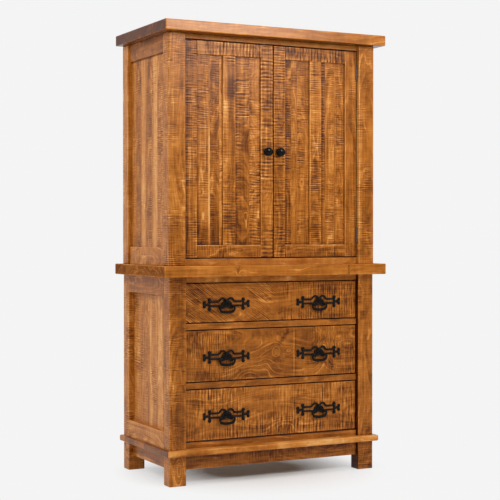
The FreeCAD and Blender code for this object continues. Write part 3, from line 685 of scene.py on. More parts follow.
# pale and rough streaks of the panels, and the dark line along each panel's back edge, which is painted
# shade in the recess by the back post
side_streaks = (
    (1.4, 0.083, 0.6, 0.022, -0.5, 0.22), (1.4, -0.046, 0.6, 0.024, -0.5, 0.24),
    (1.76, 0.022, 0.05, 0.016, 0, -0.16), (1.4, 0.02, 0.3, 0.022, 0, -0.06),
    (1.4, -0.145, 0.6, 0.03, 0.3, 0), (0.5, 0.03, 0.4, 0.017, -0.4, 0.17),
    (0.5, -0.079, 0.4, 0.029, -0.5, 0.24), (1.0, 0.2175, 1.0, 0.005, 0, -0.2),
    (0.5, -0.15, 0.4, 0.03, 0.4, -0.04),
)
side_seed = 40
for case, (rail_t, low_h, high_h) in side_frames.items():
    y0, y1 = between_posts(case)
    rail_lo, rail_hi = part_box(f"{case}_side_rails")
    panel_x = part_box(f"{case}_side_panels")[0].x
    levels = {"bottom": (rail_lo.z, rail_lo.z + low_h), "top": (rail_hi.z - high_h, rail_hi.z)}
    for level, (z0, z1) in levels.items():
        for side, lo, hi in pair((rail_lo.x, y0, z0), (rail_lo.x + rail_t, y1, z1)):
            mesh = lay_board(f"{case}_side_{level}_rail_{side}", lo, hi, 1, 2, side_seed,
                             {**ROUGH, "cover": 0.1, "wave": 0.0}, tone=side_tones[f"{case}_{level}"])
            fit_piece(mesh, side_maple, f"{case}_side_rails")
            side_seed += 1
    z0, z1 = levels["bottom"][1] - in_groove, levels["top"][0] + in_groove
    shadow = (z1, 0, 0.008, 1.0, 0, -0.28)
    for side, lo, hi in pair((panel_x, y0 - in_groove, z0),
                             (panel_x + side_panel_t, y1 + in_groove, z1)):
        mesh = lay_board(f"{case}_side_panel_{side}", lo, hi, 2, 1, side_seed,
                         {**ROUGH, "cover": 0.12, "wave": 0.0}, joints=side_joints[case], spread=0.09,
                         marks=(*side_streaks, shadow))
        fit_piece(mesh, side_maple, f"{case}_side_panels")
        side_seed += 1


# ---------------------------------------------------------------- front rails
# Narrow planed rails across the front, above, between and below the doors and drawers, tenoned
# into the posts.
reveal = 0.0032
rail_edge = 0.0018
smooth_maple = stained_maple("smooth_maple", start=0.52, streak=0.8, cloud=0.45, patch=0.05,
                             gloss=0.32)
rail_seed = 60
# each rail's edge by the doors is darkened as painted shade
for node_name, shaded_side in (("upper_front_top_rail", 0), ("upper_front_bottom_rail", 1)):
    lo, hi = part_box(node_name)
    mesh = lay_board(node_name + "_board", (-upper_inner, lo.y, lo.z), (upper_inner, hi.y, hi.z),
                     0, 2, rail_seed, PLANED, rail_edge, gap_shade=((2, shaded_side),))
    fit_piece(mesh, smooth_maple, node_name)
    rail_seed += 1
lower_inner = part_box("lower_front_posts")[1].x - post_w
fronts = [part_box(f"drawer_{drawer}_front") for drawer in ("bottom", "middle", "top")]
lo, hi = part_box("lower_front_rails")
rail_sides = [lo.z, *(z for low, high in fronts for z in (low.z - reveal, high.z + reveal)), hi.z]
rail_tones = {"bottom": -0.13, "low_divider": -0.16, "high_divider": -0.16, "top": -0.05}
# a light spot on the low divider, and painted shade along the bottom rail's top edge under the bottom
# drawer
rail_marks = {"low_divider": ((0.162, 0.415, 0.009, 0.009, 0, 0.2),),
              "bottom": ((0, 0.177, 1.0, 0.0036, 0, -0.3),)}
# every rail's edges by the drawers are painted darker as shade
for (label, tone), z0, z1 in zip(rail_tones.items(), rail_sides[::2], rail_sides[1::2]):
    mesh = lay_board(f"lower_front_{label}_rail", (-lower_inner, lo.y, z0), (lower_inner, hi.y, z1),
                     0, 2, rail_seed, PLANED, rail_edge, tone=tone, gap_shade=((2, 0), (2, 1)),
                     marks=rail_marks.get(label, ()))
    fit_piece(mesh, smooth_maple, "lower_front_rails")
    rail_seed += 1


# ---------------------------------------------------------------- base
# A moulding wraps the case above the feet, in three mitred strips with rounded edges, and
# aprons close the space under it.
def straight_grain(axis, piece_length=0.0):
    """Places for a finish on a piece that holds none: the grain follows one axis. With a
    piece_length the strip is glued up end to end, and each length has its own tone."""
    def places(tree):
        part = split(tree, node(tree, "TexCoord").outputs["Object"])
        others = [part[k] for k in range(3) if k != axis]
        lie = joined(tree, part[axis], maths(tree, "ADD", *others), others[0])
        nothing = joined(tree)
        if not piece_length:
            return lie, nothing, nothing
        count = maths(tree, "FLOOR", maths(tree, "DIVIDE", part[axis], piece_length))
        chance = node(tree, "TexWhiteNoise", {"W": count}, noise_dimensions="1D").outputs["Value"]
        return lie, nothing, joined(tree, 0.0, maths(tree, "MULTIPLY_ADD", chance, 0.3, -0.17))
    return places


moulding_front_wood = stained_maple("moulding_front_wood", start=0.72, streak=1.1, cloud=0.9,
                                    patch=0.05, gloss=0.3, shine=0.12,
                                    places=straight_grain(0, piece_length=0.33))
moulding_side_wood = stained_maple("moulding_side_wood", start=0.405, streak=0.7, cloud=0.5,
                                   patch=0.08, gloss=0.36, shine=0.3,
                                   places=straight_grain(1, piece_length=0.11))


def finish_node(name, material):
    """A CAD piece whose shape is right takes its finish."""
    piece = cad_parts[name]
    piece.data.materials.clear()
    piece.data.materials.append(material)


finish_node("base_moulding_front", moulding_front_wood)
finish_node("base_moulding_sides", moulding_side_wood)

lo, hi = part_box("front_apron")
# the apron is painted darker at its top as shade under the moulding, and a little lighter at its foot
mesh = lay_board("front_apron_board", (-lower_inner, lo.y, lo.z), (lower_inner, hi.y, hi.z), 0, 2, 71,
                 {**ROUGH, "cover": 0.0}, tone=-0.21,
                 marks=((0, hi.z - 0.004, 1.0, 0.016, 0, -0.12),
                        (0, lo.z + 0.005, 1.0, 0.014, 0, 0.02)))
fit_piece(mesh, sawn_maple, "front_apron")
side_apron_t = 0.022
lo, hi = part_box("side_aprons")
y0, y1 = between_posts("lower")
for side, a, b in pair((lo.x, y0, lo.z), (lo.x + side_apron_t, y1, hi.z)):
    mesh = lay_board(f"side_apron_{side}", a, b, 1, 2, 73, {**ROUGH, "cover": 0.1}, tone=-0.12)
    fit_piece(mesh, sawn_maple, "side_aprons")


# ---------------------------------------------------------------- doors
# Two framed doors: two stiles, a top and a bottom rail and a mullion round two flat panels of
# glued boards, all rough-sawn, with each arris eased.
stile_w = 0.057
mullion_w = 0.057
door_top_rail = 0.056
door_bottom_rail = 0.053
panel_recess = 0.0095
panel_t = 0.008
door_edge = 0.0018
panel_edge = 0.0008
fine_step = 0.0045

fitted_maple = stained_maple("fitted_maple", start=0.485, streak=1.2, band=0.13, cloud=0.28,
                             patch=0.08, sawn=0.33, ridged=0.28)
door_cuts = {
    "left_top_rail": {"cover": 0.9, "pitch": 0.014},
    "right_top_rail": {"cover": 0.9, "pitch": 0.016},
    "left_panel_2": {"pitch": 0.012, "wave": 0.005},
    "left_lock_stile": {"cover": 0.7, "pitch": 0.016},
    "right_lock_stile": {"cover": 0.6, "pitch": 0.011},
    "right_panel_1": {"cover": 0.25},
    "right_outer_stile": {"cover": 0.2},
    "right_mullion": {"cover": 0.6, "pitch": 0.010},
}
door_tones = {
    "left_outer_stile": -0.07, "left_top_rail": -0.08, "left_mullion": -0.01, "left_panel_2": -0.01,
    "left_lock_stile": -0.03, "left_bottom_rail": -0.16, "right_top_rail": -0.14,
    "right_lock_stile": -0.01, "right_outer_stile": 0.02, "right_bottom_rail": -0.07,
}
# where the strips of each panel meet, and the tone of each strip
door_strips = {
    "left_panel_1": ((-0.302, -0.297, -0.254), (0.0, 0.04, -0.07, 0.07)),
    "left_panel_2": ((-0.111,), (0.0, 0.04)),
    "right_panel_1": ((0.093, 0.121), (-0.08, -0.04, -0.02)),
    "right_panel_2": ((0.262, 0.308), (-0.05, 0.02, -0.03)),
}
# for each board, (along the grain, across it, reach along, reach across, rougher, lighter)
door_marks = {
    "left": {
        "outer_stile": (
            # the first mark is painted shade cast by the post on the stile's left edge
            (1.4, -0.408, 0.6, 0.0095, 0, -0.2), (1.79, -0.388, 0.05, 0.04, 0.2, -0.07),
            (1.63, -0.388, 0.012, 0.04, 0.3, -0.05), (1.3, -0.38, 0.14, 0.04, -0.1, 0.04),
        ),
        "top_rail": (
            (-0.338, 1.823, 0.014, 0.05, -0.8, 0.16), (-0.2, 1.823, 0.1, 0.05, 0.3, 0.05),
            (-0.068, 1.823, 0.022, 0.05, 0.2, -0.12),
        ),
        "panel_1": (
            (1.695, -0.342, 0.022, 0.018, 0.3, -0.08), (1.6, -0.348, 0.03, 0.012, 0.3, -0.1),
            (1.235, -0.2995, 0.26, 0.004, -0.3, 0.42), (1.22, -0.276, 0.24, 0.022, 0, -0.06),
            (1.12, -0.327, 0.016, 0.005, -0.3, 0.4), (1.4, -0.2475, 0.45, 0.005, -0.1, 0.12),
            (1.03, -0.3, 0.06, 0.07, 0, -0.08),
        ),
        "mullion": (
            (1.66, -0.205, 0.047, 0.03, -0.2, -0.2), (1.567, -0.224, 0.038, 0.012, -0.2, 0.22),
            (1.35, -0.2, 0.45, 0.018, 0, -0.12), (1.12, -0.209, 0.16, 0.05, 0.2, -0.08),
        ),
        "panel_2": (
            (1.35, -0.12, 0.5, 0.07, 0, -0.05), (1.665, -0.145, 0.04, 0.032, 0.8, 0.04),
            (1.56, -0.145, 0.05, 0.032, 0.8, 0.05), (1.437, -0.133, 0.042, 0.017, -0.2, -0.24),
            (1.6, -0.082, 0.2, 0.02, -0.3, 0.06), (1.1, -0.178, 0.3, 0.006, 0.2, -0.12),
            (1.085, -0.125, 0.019, 0.004, -0.3, 0.5), (1.13, -0.068, 0.02, 0.006, -0.3, 0.4),
            (1.08, -0.068, 0.03, 0.004, 0.2, -0.2),
        ),
        "lock_stile": (
            (1.73, -0.03, 0.065, 0.04, 0.7, 0.02), (1.565, -0.045, 0.03, 0.013, 0.6, -0.12),
            (1.15, -0.03, 0.12, 0.04, -0.1, 0.06),
        ),
        "bottom_rail": ((-0.31, 0.97, 0.04, 0.05, 0, 0.06),),
    },
    "right": {
        "lock_stile": (
            (1.74, 0.03, 0.09, 0.04, 0.4, 0.02), (1.41, 0.03, 0.025, 0.03, 0, -0.1),
            (1.2, 0.03, 0.18, 0.04, -0.1, -0.04),
        ),
        "top_rail": ((0.2, 1.823, 0.12, 0.05, 0.2, 0.03), (0.33, 1.823, 0.03, 0.05, 0.2, -0.1)),
        "panel_1": (
            (1.4, 0.076, 0.45, 0.016, 0.1, -0.07), (1.755, 0.14, 0.03, 0.04, 0.3, -0.08),
            (1.79, 0.1, 0.03, 0.02, -0.2, 0.08),
        ),
        "mullion": (
            (1.73, 0.209, 0.05, 0.05, 0.6, 0.01), (1.555, 0.209, 0.024, 0.05, -0.3, 0.06),
            (1.36, 0.209, 0.1, 0.05, 0.5, -0.03),
        ),
        "panel_2": ((1.62, 0.249, 0.22, 0.01, 0.5, -0.12), (1.1, 0.29, 0.1, 0.02, 0.3, 0.05)),
        "outer_stile": ((1.6, 0.388, 0.05, 0.04, -0.2, -0.05), (1.45, 0.388, 0.1, 0.04, -0.1, 0.03)),
    },
}
# the height that the long upright marks are centred on, and the mark at the foot of each door
door_middle = 1.4
door_foot = (0.97, 0, 0.13, 1.0, 0, -0.05)
door_knots = {
    "left": {
        "top_rail": ((-0.098, 1.836, 0.006),),
        "panel_1": ((1.22, -0.335, 0.006),),
        "panel_2": ((1.12, -0.13, 0.007),),
        "bottom_rail": ((-0.15, 0.975, 0.004),),
    },
    "right": {
        "panel_1": ((1.27, 0.145, 0.006),),
        "panel_2": ((1.235, 0.335, 0.012), (1.47, 0.25, 0.005)),
        "outer_stile": ((0.99, 0.39, 0.006),),
    },
}
for side, way, seed in (("left", -1, 80), ("right", 1, 100)):
    lo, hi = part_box(f"door_{side}_stiles")
    body = f"door_{side}"
    y0, y1 = lo.y, hi.y
    z_low, z_high = lo.z + door_bottom_rail, hi.z - door_top_rail
    in0, in1 = lo.x + stile_w, hi.x - stile_w
    mid = (lo.x + hi.x) / 2
    m0, m1 = mid - mullion_w / 2, mid + mullion_w / 2
    p0 = y0 + panel_recess
    stile_names = ("outer_stile", "lock_stile")[::-way]
    # each board's last entry is the sides painted darker as shade where they face the door's gap
    boards = {
        stile_names[0]: ((lo.x, y0, lo.z), (in0, y1, hi.z), 2, "stiles", ((0, 0), (2, 0), (2, 1))),
        stile_names[1]: ((in1, y0, lo.z), (hi.x, y1, hi.z), 2, "stiles", ((0, 1), (2, 0), (2, 1))),
        "bottom_rail": ((in0, y0, lo.z), (in1, y1, z_low), 0, "rails", ((2, 0),)),
        "top_rail": ((in0, y0, z_high), (in1, y1, hi.z), 0, "rails", ((2, 1),)),
        "mullion": ((m0, y0, z_low), (m1, y1, z_high), 2, "rails", ()),
    }
    for k, (x0, x1) in enumerate(((in0, m0), (m1, in1))):
        boards[f"panel_{k + 1}"] = ((x0 - in_groove, p0, z_low - in_groove),
                                    (x1 + in_groove, p0 + panel_t, z_high + in_groove),
                                    2, "panels", ())
    for label, (a, b, grain, part_of, gap_shade) in boards.items():
        is_panel = part_of == "panels"
        key = f"{side}_{label}"
        joints, tones = door_strips.get(key, ((), ()))
        marks = [*door_marks[side].get(label, ())]
        if grain == 2:
            marks.append(door_foot)
        if is_panel:
            # painted shade where each panel meets its frame: at its foot, under the top rail, and along
            # both sides
            marks += [(z_low, 0, 0.013, 1.0, 0, -0.15), (z_high, 0, 0.012, 1.0, 0, -0.12),
                      (door_middle, a[0] + 0.0085, 1.0, 0.0055, 0, -0.14),
                      (door_middle, b[0] - 0.002, 1.0, 0.003, 0, -0.18)]
        # a painted highlight along the bottom rail's top edge, under the panels
        if label == "bottom_rail":
            marks.append((0, z_low, 1.0, 0.0032, -0.2, 0.22))
        # painted light on the left edge of the mullion and of the right-hand stile, where their step
        # faces catch the light
        if a[0] in (m0, in1):
            marks.append((door_middle, a[0], 1.0, 0.004, -0.2, 0.14))
        mesh = lay_board(f"{body}_{label}", a, b, grain, 2 - grain, seed,
                         {**ROUGH, **door_cuts.get(key, {})}, panel_edge if is_panel else door_edge,
                         joints=joints, tone=door_tones.get(key, 0.0), tones=tones, marks=marks,
                         knots=door_knots[side].get(label, ()), gap_shade=gap_shade, across_step=fine_step)
        fit_piece(mesh, fitted_maple,
                  f"{body}_{part_of}", body)
        seed += 1


# ---------------------------------------------------------------- drawer fronts
# Three wide inset fronts of rough-sawn maple, with every arris eased. The dovetails of the box's
# sides enter sockets in the back of each.
drawer_maple = stained_maple("drawer_maple", start=0.49, band=0.05, patch=0.1, sawn=0.4, ridged=0.24)
drawer_cut = {**ROUGH, "cover": 0.45, "pitch": 0.0105}
# for each front, its seed, how it is cut, and where its slanted saw lines end
drawer_cuts = {
    "bottom": (120, drawer_cut, None),
    "middle": (124, drawer_cut, None),
    "top": (128, {**drawer_cut, "cover": 0.6, "tilt": 1.43}, 0.02),
}
drawer_tones = {"bottom": -0.02, "middle": -0.11, "top": -0.02}
drawer_marks = {
    "bottom": (
        (0.0, 0.205, 0.4, 0.02, 0.2, -0.05), (0.1, 0.33, 0.12, 0.06, 0.2, 0.03),
        (-0.39, 0.28, 0.03, 0.1, 0.1, -0.05), (0.05, 0.22, 0.06, 0.03, 0, 0.02, 0.25),
    ),
    "middle": (
        (0.0, 0.534, 0.15, 0.12, -0.5, -0.03), (-0.3, 0.534, 0.1, 0.12, 0.3, 0.02),
        (-0.116, 0.415, 0.075, 0.09, -0.2, 0, 0.38), (0.013, 0.545, 0.03, 0.035, 0, 0, 0.35),
        (0.076, 0.543, 0.028, 0.016, 0, 0.02, 0.35), (-0.035, 0.5, 0.028, 0.1, 0, 0, 0.14),
        (0.07, 0.624, 0.008, 0.013, 0, -0.22), (0.058, 0.607, 0.009, 0.012, 0, -0.22),
        (0.046, 0.591, 0.009, 0.011, 0, -0.2), (0.034, 0.577, 0.009, 0.011, 0, -0.16),
        (0.018, 0.54, 0.014, 0.018, 0, 0.03, 0.3), (0.103, 0.534, 0.003, 0.12, 0, 0.16),
        (0.111, 0.534, 0.003, 0.12, 0, -0.12), (-0.05, 0.62, 0.09, 0.02, 0, -0.06),
        (0.05, 0.46, 0.07, 0.025, -0.2, -0.08), (0.3, 0.534, 0.12, 0.12, 0.25, 0),
        (0.253, 0.56, 0.032, 0.11, -0.3, 0, 0.38), (0.287, 0.47, 0.012, 0.03, 0, -0.18),
        (0.38, 0.56, 0.05, 0.02, -0.2, 0, 0.2),
    ),
    "top": (
        (-0.36, 0.8, 0.04, 0.03, 0.1, -0.1), (-0.2, 0.7, 0.2, 0.02, -0.2, 0.05),
        (0.3, 0.76, 0.1, 0.1, 0.2, 0),
    ),
}
drawer_knots = {
    "bottom": ((-0.24, 0.333, 0.004), (0.12, 0.24, 0.01)),
    "middle": ((-0.16, 0.47, 0.006), (0.3, 0.46, 0.005)),
    "top": ((0.03, 0.705, 0.006),),
}
for name, (seed, cut, turn_at) in drawer_cuts.items():
    lo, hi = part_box(f"drawer_{name}_front")
    # the fronts' edges are painted darker as shade where they face the gaps around them
    mesh = lay_board(f"drawer_{name}_face", lo, hi, 0, 2, seed, cut, door_edge,
                     tone=drawer_tones[name], marks=drawer_marks[name], knots=drawer_knots[name],
                     gap_shade=((0, 0), (0, 1), (2, 0), (2, 1)), across_step=fine_step, turn_at=turn_at)
    mesh = carve(mesh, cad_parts[f"drawer_{name}_box"])
    fit_piece(mesh, drawer_maple, f"drawer_{name}_front", f"drawer_{name}")


# ---------------------------------------------------------------- drawer pulls
# Six black cast-iron pulls. Each has two small dog-bones a side joined by round bars, and a
# woven knot in the middle under two loops. Two machine screws hold it from inside the drawer.
pull_x = 0.224
pull_below_middle = 0.007
drawer_face_y, drawer_back_y = (corner.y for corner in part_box("drawer_top_front"))
# of each dog-bone, its place, half its height and the radius of its balls
inner_bone = (0.079, 0.0190, 0.0079)
outer_bone = (0.1032, 0.0090, 0.0069)
bone_waist = 0.0048
bone_flat = 0.62
bone_proud = 0.0024
neck_r = 0.0056
neck_flat = 0.6
bar_levels = (0.0115, -0.0065)
bar_r = 0.0039
bar_proud = 0.0032
loop_r = 0.0040
knot_half = (0.0275, 0.0165)
knot_level = -0.0030
knot_laps = (3, 4)
knot_proud = 0.0052
weave = 0.0019
strand_r = 0.0032
# of the lug that holds the bail, its place, its level and its radius
ear = (0.0275, -0.009, 0.0045)
ear_half = 0.0025
ear_root_r = 0.0036
ear_root = (0.001, 0.012)
bail_y = drawer_face_y - 0.011
let_in = 0.0006


def smooth_path(knots, per_span):
    """Points on a smooth curve through the knots."""
    knots = np.array(knots, float)
    last = len(knots) - 1
    path = []
    for k in range(last):
        p = [knots[max(0, min(last, k + j))] for j in (-1, 0, 1, 2)]
        for t in np.linspace(0, 1, per_span, endpoint=False):
            path.append(0.5 * (2 * p[1] + (p[2] - p[0]) * t
                               + (2 * p[0] - 5 * p[1] + 4 * p[2] - p[3]) * t ** 2
                               + (3 * p[1] - p[0] - 3 * p[2] + p[3]) * t ** 3))
    return np.array([*path, knots[-1]])


def ring_faces(rings, sides, closed=False):
    """Quads between neighbouring rings of points, and a cap at each end."""
    faces = []
    for k in range(rings if closed else rings - 1):
        here, there = k * sides, (k + 1) % rings * sides
        for j in range(sides):
            after = (j + 1) % sides
            faces.append((there + j, there + after, here + after, here + j))
    if not closed:
        faces.append(tuple(range(sides)))
        faces.append(tuple((rings - 1) * sides + j for j in reversed(range(sides))))
    return faces


def sweep(path, radii, sides=12, closed=False, domed=True, flat=1.0):
    """Points and faces of a round rod along a path, its ends domed. flat presses it in y."""
    path = np.array(path, float)
    radii = np.broadcast_to(radii, len(path)).astype(float)
    if domed and not closed:
        first, last = path[0] - path[1], path[-1] - path[-2]
        first, last = first / np.linalg.norm(first), last / np.linalg.norm(last)
        dome = np.array([0.85, 0.5])
        start = [path[0] + first * radii[0] * d for d in dome]
        end = [path[-1] + last * radii[-1] * d for d in dome[::-1]]
        shrink = np.sqrt(1 - dome ** 2)
        path = np.array([*start, *path, *end])
        radii = np.array([*(radii[0] * shrink), *radii, *(radii[-1] * shrink[::-1])])
    if closed:
        along = np.roll(path, -1, 0) - np.roll(path, 1, 0)
    else:
        along = np.gradient(path, axis=0)
    along /= np.linalg.norm(along, axis=1)[:, None]
    runs_back = abs(along[0, 1]) > 0.9
    up = np.array([0.0, 0.0, 1.0] if runs_back else [0.0, 1.0, 0.0])
    side = np.cross(along, up)
    side /= np.linalg.norm(side, axis=1)[:, None]
    up = np.cross(side, along)
    turn = np.linspace(0, 2 * math.pi, sides, endpoint=False)
    ring = side[:, None] * np.cos(turn)[None, :, None] + up[:, None] * np.sin(turn)[None, :, None]
    points = path[:, None] + ring * radii[:, None, None]
    points[..., 1] = path[:, None, 1] + (points[..., 1] - path[:, None, 1]) * flat
    return points.reshape(-1, 3), ring_faces(len(path), sides, closed)


def turned_y(profile, x, z):
    """A form turned about an axis along y, from (radius, y) points."""
    sides = 24
    turn = np.linspace(0, 2 * math.pi, sides, endpoint=False)
    points = [(x + radius * math.cos(a), y, z + radius * math.sin(a))
              for radius, y in profile for a in turn]
    return points, ring_faces(len(profile), sides)


def over_and_under(path, height):
    """How far each point of a closed flat path lifts so that it weaves over and under itself."""
    n = len(path)
    a = path[:, (0, 2)]
    ab = np.roll(a, -1, 0) - a
    hits = []
    for k in range(n):
        gap = a - a[k]
        cross = ab[k][0] * ab[:, 1] - ab[k][1] * ab[:, 0]
        with np.errstate(divide="ignore", invalid="ignore"):
            t = (gap[:, 0] * ab[:, 1] - gap[:, 1] * ab[:, 0]) / cross
            u = (gap[:, 0] * ab[k][1] - gap[:, 1] * ab[k][0]) / cross
        apart = np.minimum((np.arange(n) - k) % n, (k - np.arange(n)) % n) > 2
        for j in np.nonzero((t >= 0) & (t < 1) & (u >= 0) & (u < 1) & apart)[0]:
            hits.append(k + t[j])
    hits = np.sort(hits)
    side = np.where(np.arange(len(hits)) % 2 == 0, 1.0, -1.0)
    spots = np.concatenate([hits - n, hits, hits + n])
    return height * np.interp(np.arange(n), spots, np.tile(side, 3))


class Casting:
    """A mesh put together from rods and turned forms."""

    def __init__(self, name):
        self.name, self.points, self.faces = name, [], []

    def add(self, points, faces):
        start = sum(len(p) for p in self.points)
        self.points.append(np.array(points))
        self.faces += [tuple(start + k for k in face) for face in faces]

    def mesh(self, back=None):
        """back is the plane that the casting lies against."""
        points = np.concatenate(self.points)
        if back is not None:
            points[:, 1] = np.minimum(points[:, 1], back)
        made = bpy.data.meshes.new(self.name)
        made.from_pydata(points.tolist(), [], self.faces)
        made.shade_smooth()
        return made


def bone(x, half, end_r, z):
    """A short upright bar with a ball at each end."""
    up = np.sin(np.linspace(-0.5, 0.5, 41) * math.pi) * (half + 0.97 * end_r)
    ball = np.clip(end_r ** 2 - (np.abs(up) - half) ** 2, 0, None) ** 0.5
    bar = bone_waist + 0.5 * (end_r - bone_waist) * np.clip(np.abs(up) / half, 0, 1) ** 3
    radius = np.where(np.abs(up) > half, ball, np.maximum(ball, bar))
    path = np.stack([np.full_like(up, x), np.full_like(up, drawer_face_y - bone_proud), z + up], -1)
    return sweep(path, radius, 16, domed=False, flat=bone_flat)


def pull_mesh(name, x0, z0):
    made = Casting(name)
    face = drawer_face_y
    for way in (-1, 1):
        for x, half, end_r in (inner_bone, outer_bone):
            made.add(*bone(x0 + way * x, half, end_r, z0))
        neck = [(x0 + way * x, face - bone_proud, z0)
                for x in np.linspace(inner_bone[0], outer_bone[0], 6)]
        made.add(*sweep(neck, neck_r, flat=neck_flat))
        high, low = bar_levels
        # along x, up, and how much further out than the bars
        bar = [(inner_bone[0], low, 0), (0.05, low, 0), (0.032, low, 0.001), (0.02, low, 0.0025)]
        arch = [(inner_bone[0], high, 0), (0.052, 0.0112, 0), (0.039, 0.0115, 0.0005),
                (0.0325, 0.0160, 0.001), (0.0265, 0.0232, 0.0015), (0.0185, 0.0258, 0.002),
                (0.0105, 0.0230, 0.003), (0.004, 0.017, 0.0045),
                (-0.002, 0.0105, 0.0045 + 0.0012 * way), (-0.006, 0.005, 0.004)]
        for course, radius in ((bar, bar_r), (arch, loop_r)):
            course = [(x0 + way * x, face - bar_proud - out, z0 + z) for x, z, out in course]
            made.add(*sweep(smooth_path(course, 6), radius))
        ear_x, ear_z = x0 + way * ear[0], z0 + ear[1]
        lug = [(ear_x + way * off, bail_y, ear_z) for off in np.linspace(-ear_half, ear_half, 4)]
        made.add(*sweep(lug, ear[2], 16))
        root = [(ear_x, bail_y + off, ear_z) for off in np.linspace(*ear_root, 4)]
        made.add(*sweep(root, ear_root_r))
    t = np.linspace(0, 2 * math.pi, 220, endpoint=False)
    u, v = np.cos(knot_laps[0] * t), np.cos(knot_laps[1] * t + math.pi / 6)
    low = (1 - v) / 2
    x = x0 + knot_half[0] * u * (0.62 + 0.38 * low ** 0.7)
    dip = 0.0095 * np.cos(math.pi / 2 * u) ** 2 * low ** 2 - 0.006 * u ** 4 * v
    z = z0 + knot_level + knot_half[1] * v + dip
    path = np.stack([x, np.full_like(x, face - knot_proud), z], -1)
    path[:, 1] -= over_and_under(path, weave)
    made.add(*sweep(path, strand_r, closed=True))
    return made.mesh(back=face + let_in)


def small_finish(name, grain, stops, matt, tint=None, lumps=None, relief=None, metal=0.0,
                 shine=0.5):
    """A finish that lies in its piece's own space. grain is the fine noise of its gloss and
    relief, as (scale, detail, roughness), and matt its least roughness and what the grain adds.
    tint is the noise of its colour, if another, and lumps one that swells the relief, which is
    (strength, distance)."""
    made, tree = blank_material(name)
    place = node(tree, "TexCoord").outputs["Object"]
    fine = noise(tree, place, *grain)
    patchy = noise(tree, place, *tint) if tint else fine
    inputs = {"Base Color": colour_ramp(tree, patchy, stops),
              "Roughness": summed(tree, matt[0], (fine, matt[1])), "Metallic": metal,
              "Specular IOR Level": shine}
    if relief:
        height = fine
        if lumps:
            height = summed(tree, 0.0, (fine, 0.4), (noise(tree, place, *lumps), 1.0))
        bump = node(tree, "Bump", {"Height": height, "Strength": relief[0], "Distance": relief[1]})
        inputs["Normal"] = bump.outputs[0]
    surface(tree, node(tree, "BsdfPrincipled", inputs))
    return made


# Black iron: a matt coat over a slightly rough casting, worn a little paler in patches.
black_iron = small_finish(
    "black_iron", (900, 3.0, 0.6), [(0.35, (0.004, 0.003, 0.002)), (0.6, (0.007, 0.005, 0.004)),
                                    (0.75, (0.016, 0.012, 0.009))],
    (0.34, 0.16), tint=(240, 3.0, 0.6), lumps=(160, 2.0, 0.5), relief=(0.7, 0.0008), shine=0.13)
zinc = small_finish("zinc", (700, 2.0, 0.5), [(0.3, (0.44, 0.44, 0.45)), (0.7, (0.62, 0.62, 0.62))],
                    (0.25, 0.2), metal=1.0)

screw_r = 0.002
screw_in = 0.02
screw_head_r = 0.0042
# the head's outline, from its rim over its dome into the slot, as (share of its radius, height)
screw_head = ((1, 0), (1, 0.0009), (0.9, 0.0017), (0.6, 0.0022), (0.3, 0.0024), (0.18, 0.0012))


def pull_places(drawer):
    """Where a drawer's pulls hang: the sides, their middles along x, and their level."""
    lo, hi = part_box(f"drawer_{drawer}_front")
    level = (lo.z + hi.z) / 2 - pull_below_middle
    return (("left", -pull_x, level), ("right", pull_x, level))


for drawer in drawer_cuts:
    body, node_name = f"drawer_{drawer}", f"drawer_{drawer}_pulls"
    screws = Casting(f"{body}_pull_screws")
    for side, middle, level in pull_places(drawer):
        fit_piece(pull_mesh(f"{body}_pull_{side}", middle, level), black_iron,
                  node_name, body)
        outline = [(screw_r, drawer_back_y - screw_in), (screw_r, drawer_back_y)]
        outline += [(share * screw_head_r, drawer_back_y + rise) for share, rise in screw_head]
        for x in (middle - inner_bone[0], middle + inner_bone[0]):
            screws.add(*turned_y(outline, x, level))
    fit_piece(screws.mesh(), zinc, node_name, body)


# ---------------------------------------------------------------- bails
# A swinging bail hangs from two lugs of each pull. Its grip is forged as a twisted rope.
bail_half = 0.0345
bail_drop = 0.0225
bail_corner = 0.0135
bail_r = 0.0042
bail_sag = 0.0025
bail_end_r = 0.0034
bail_pin_r = 0.002
bail_pin_x = 0.0245
grip_half = 0.036
grip_core_r = 0.0012
twist_r = 0.0032
twist_ring = 0.0029
twist_pitch = 0.019
grip_fade = 0.006
twist_fade = 0.005


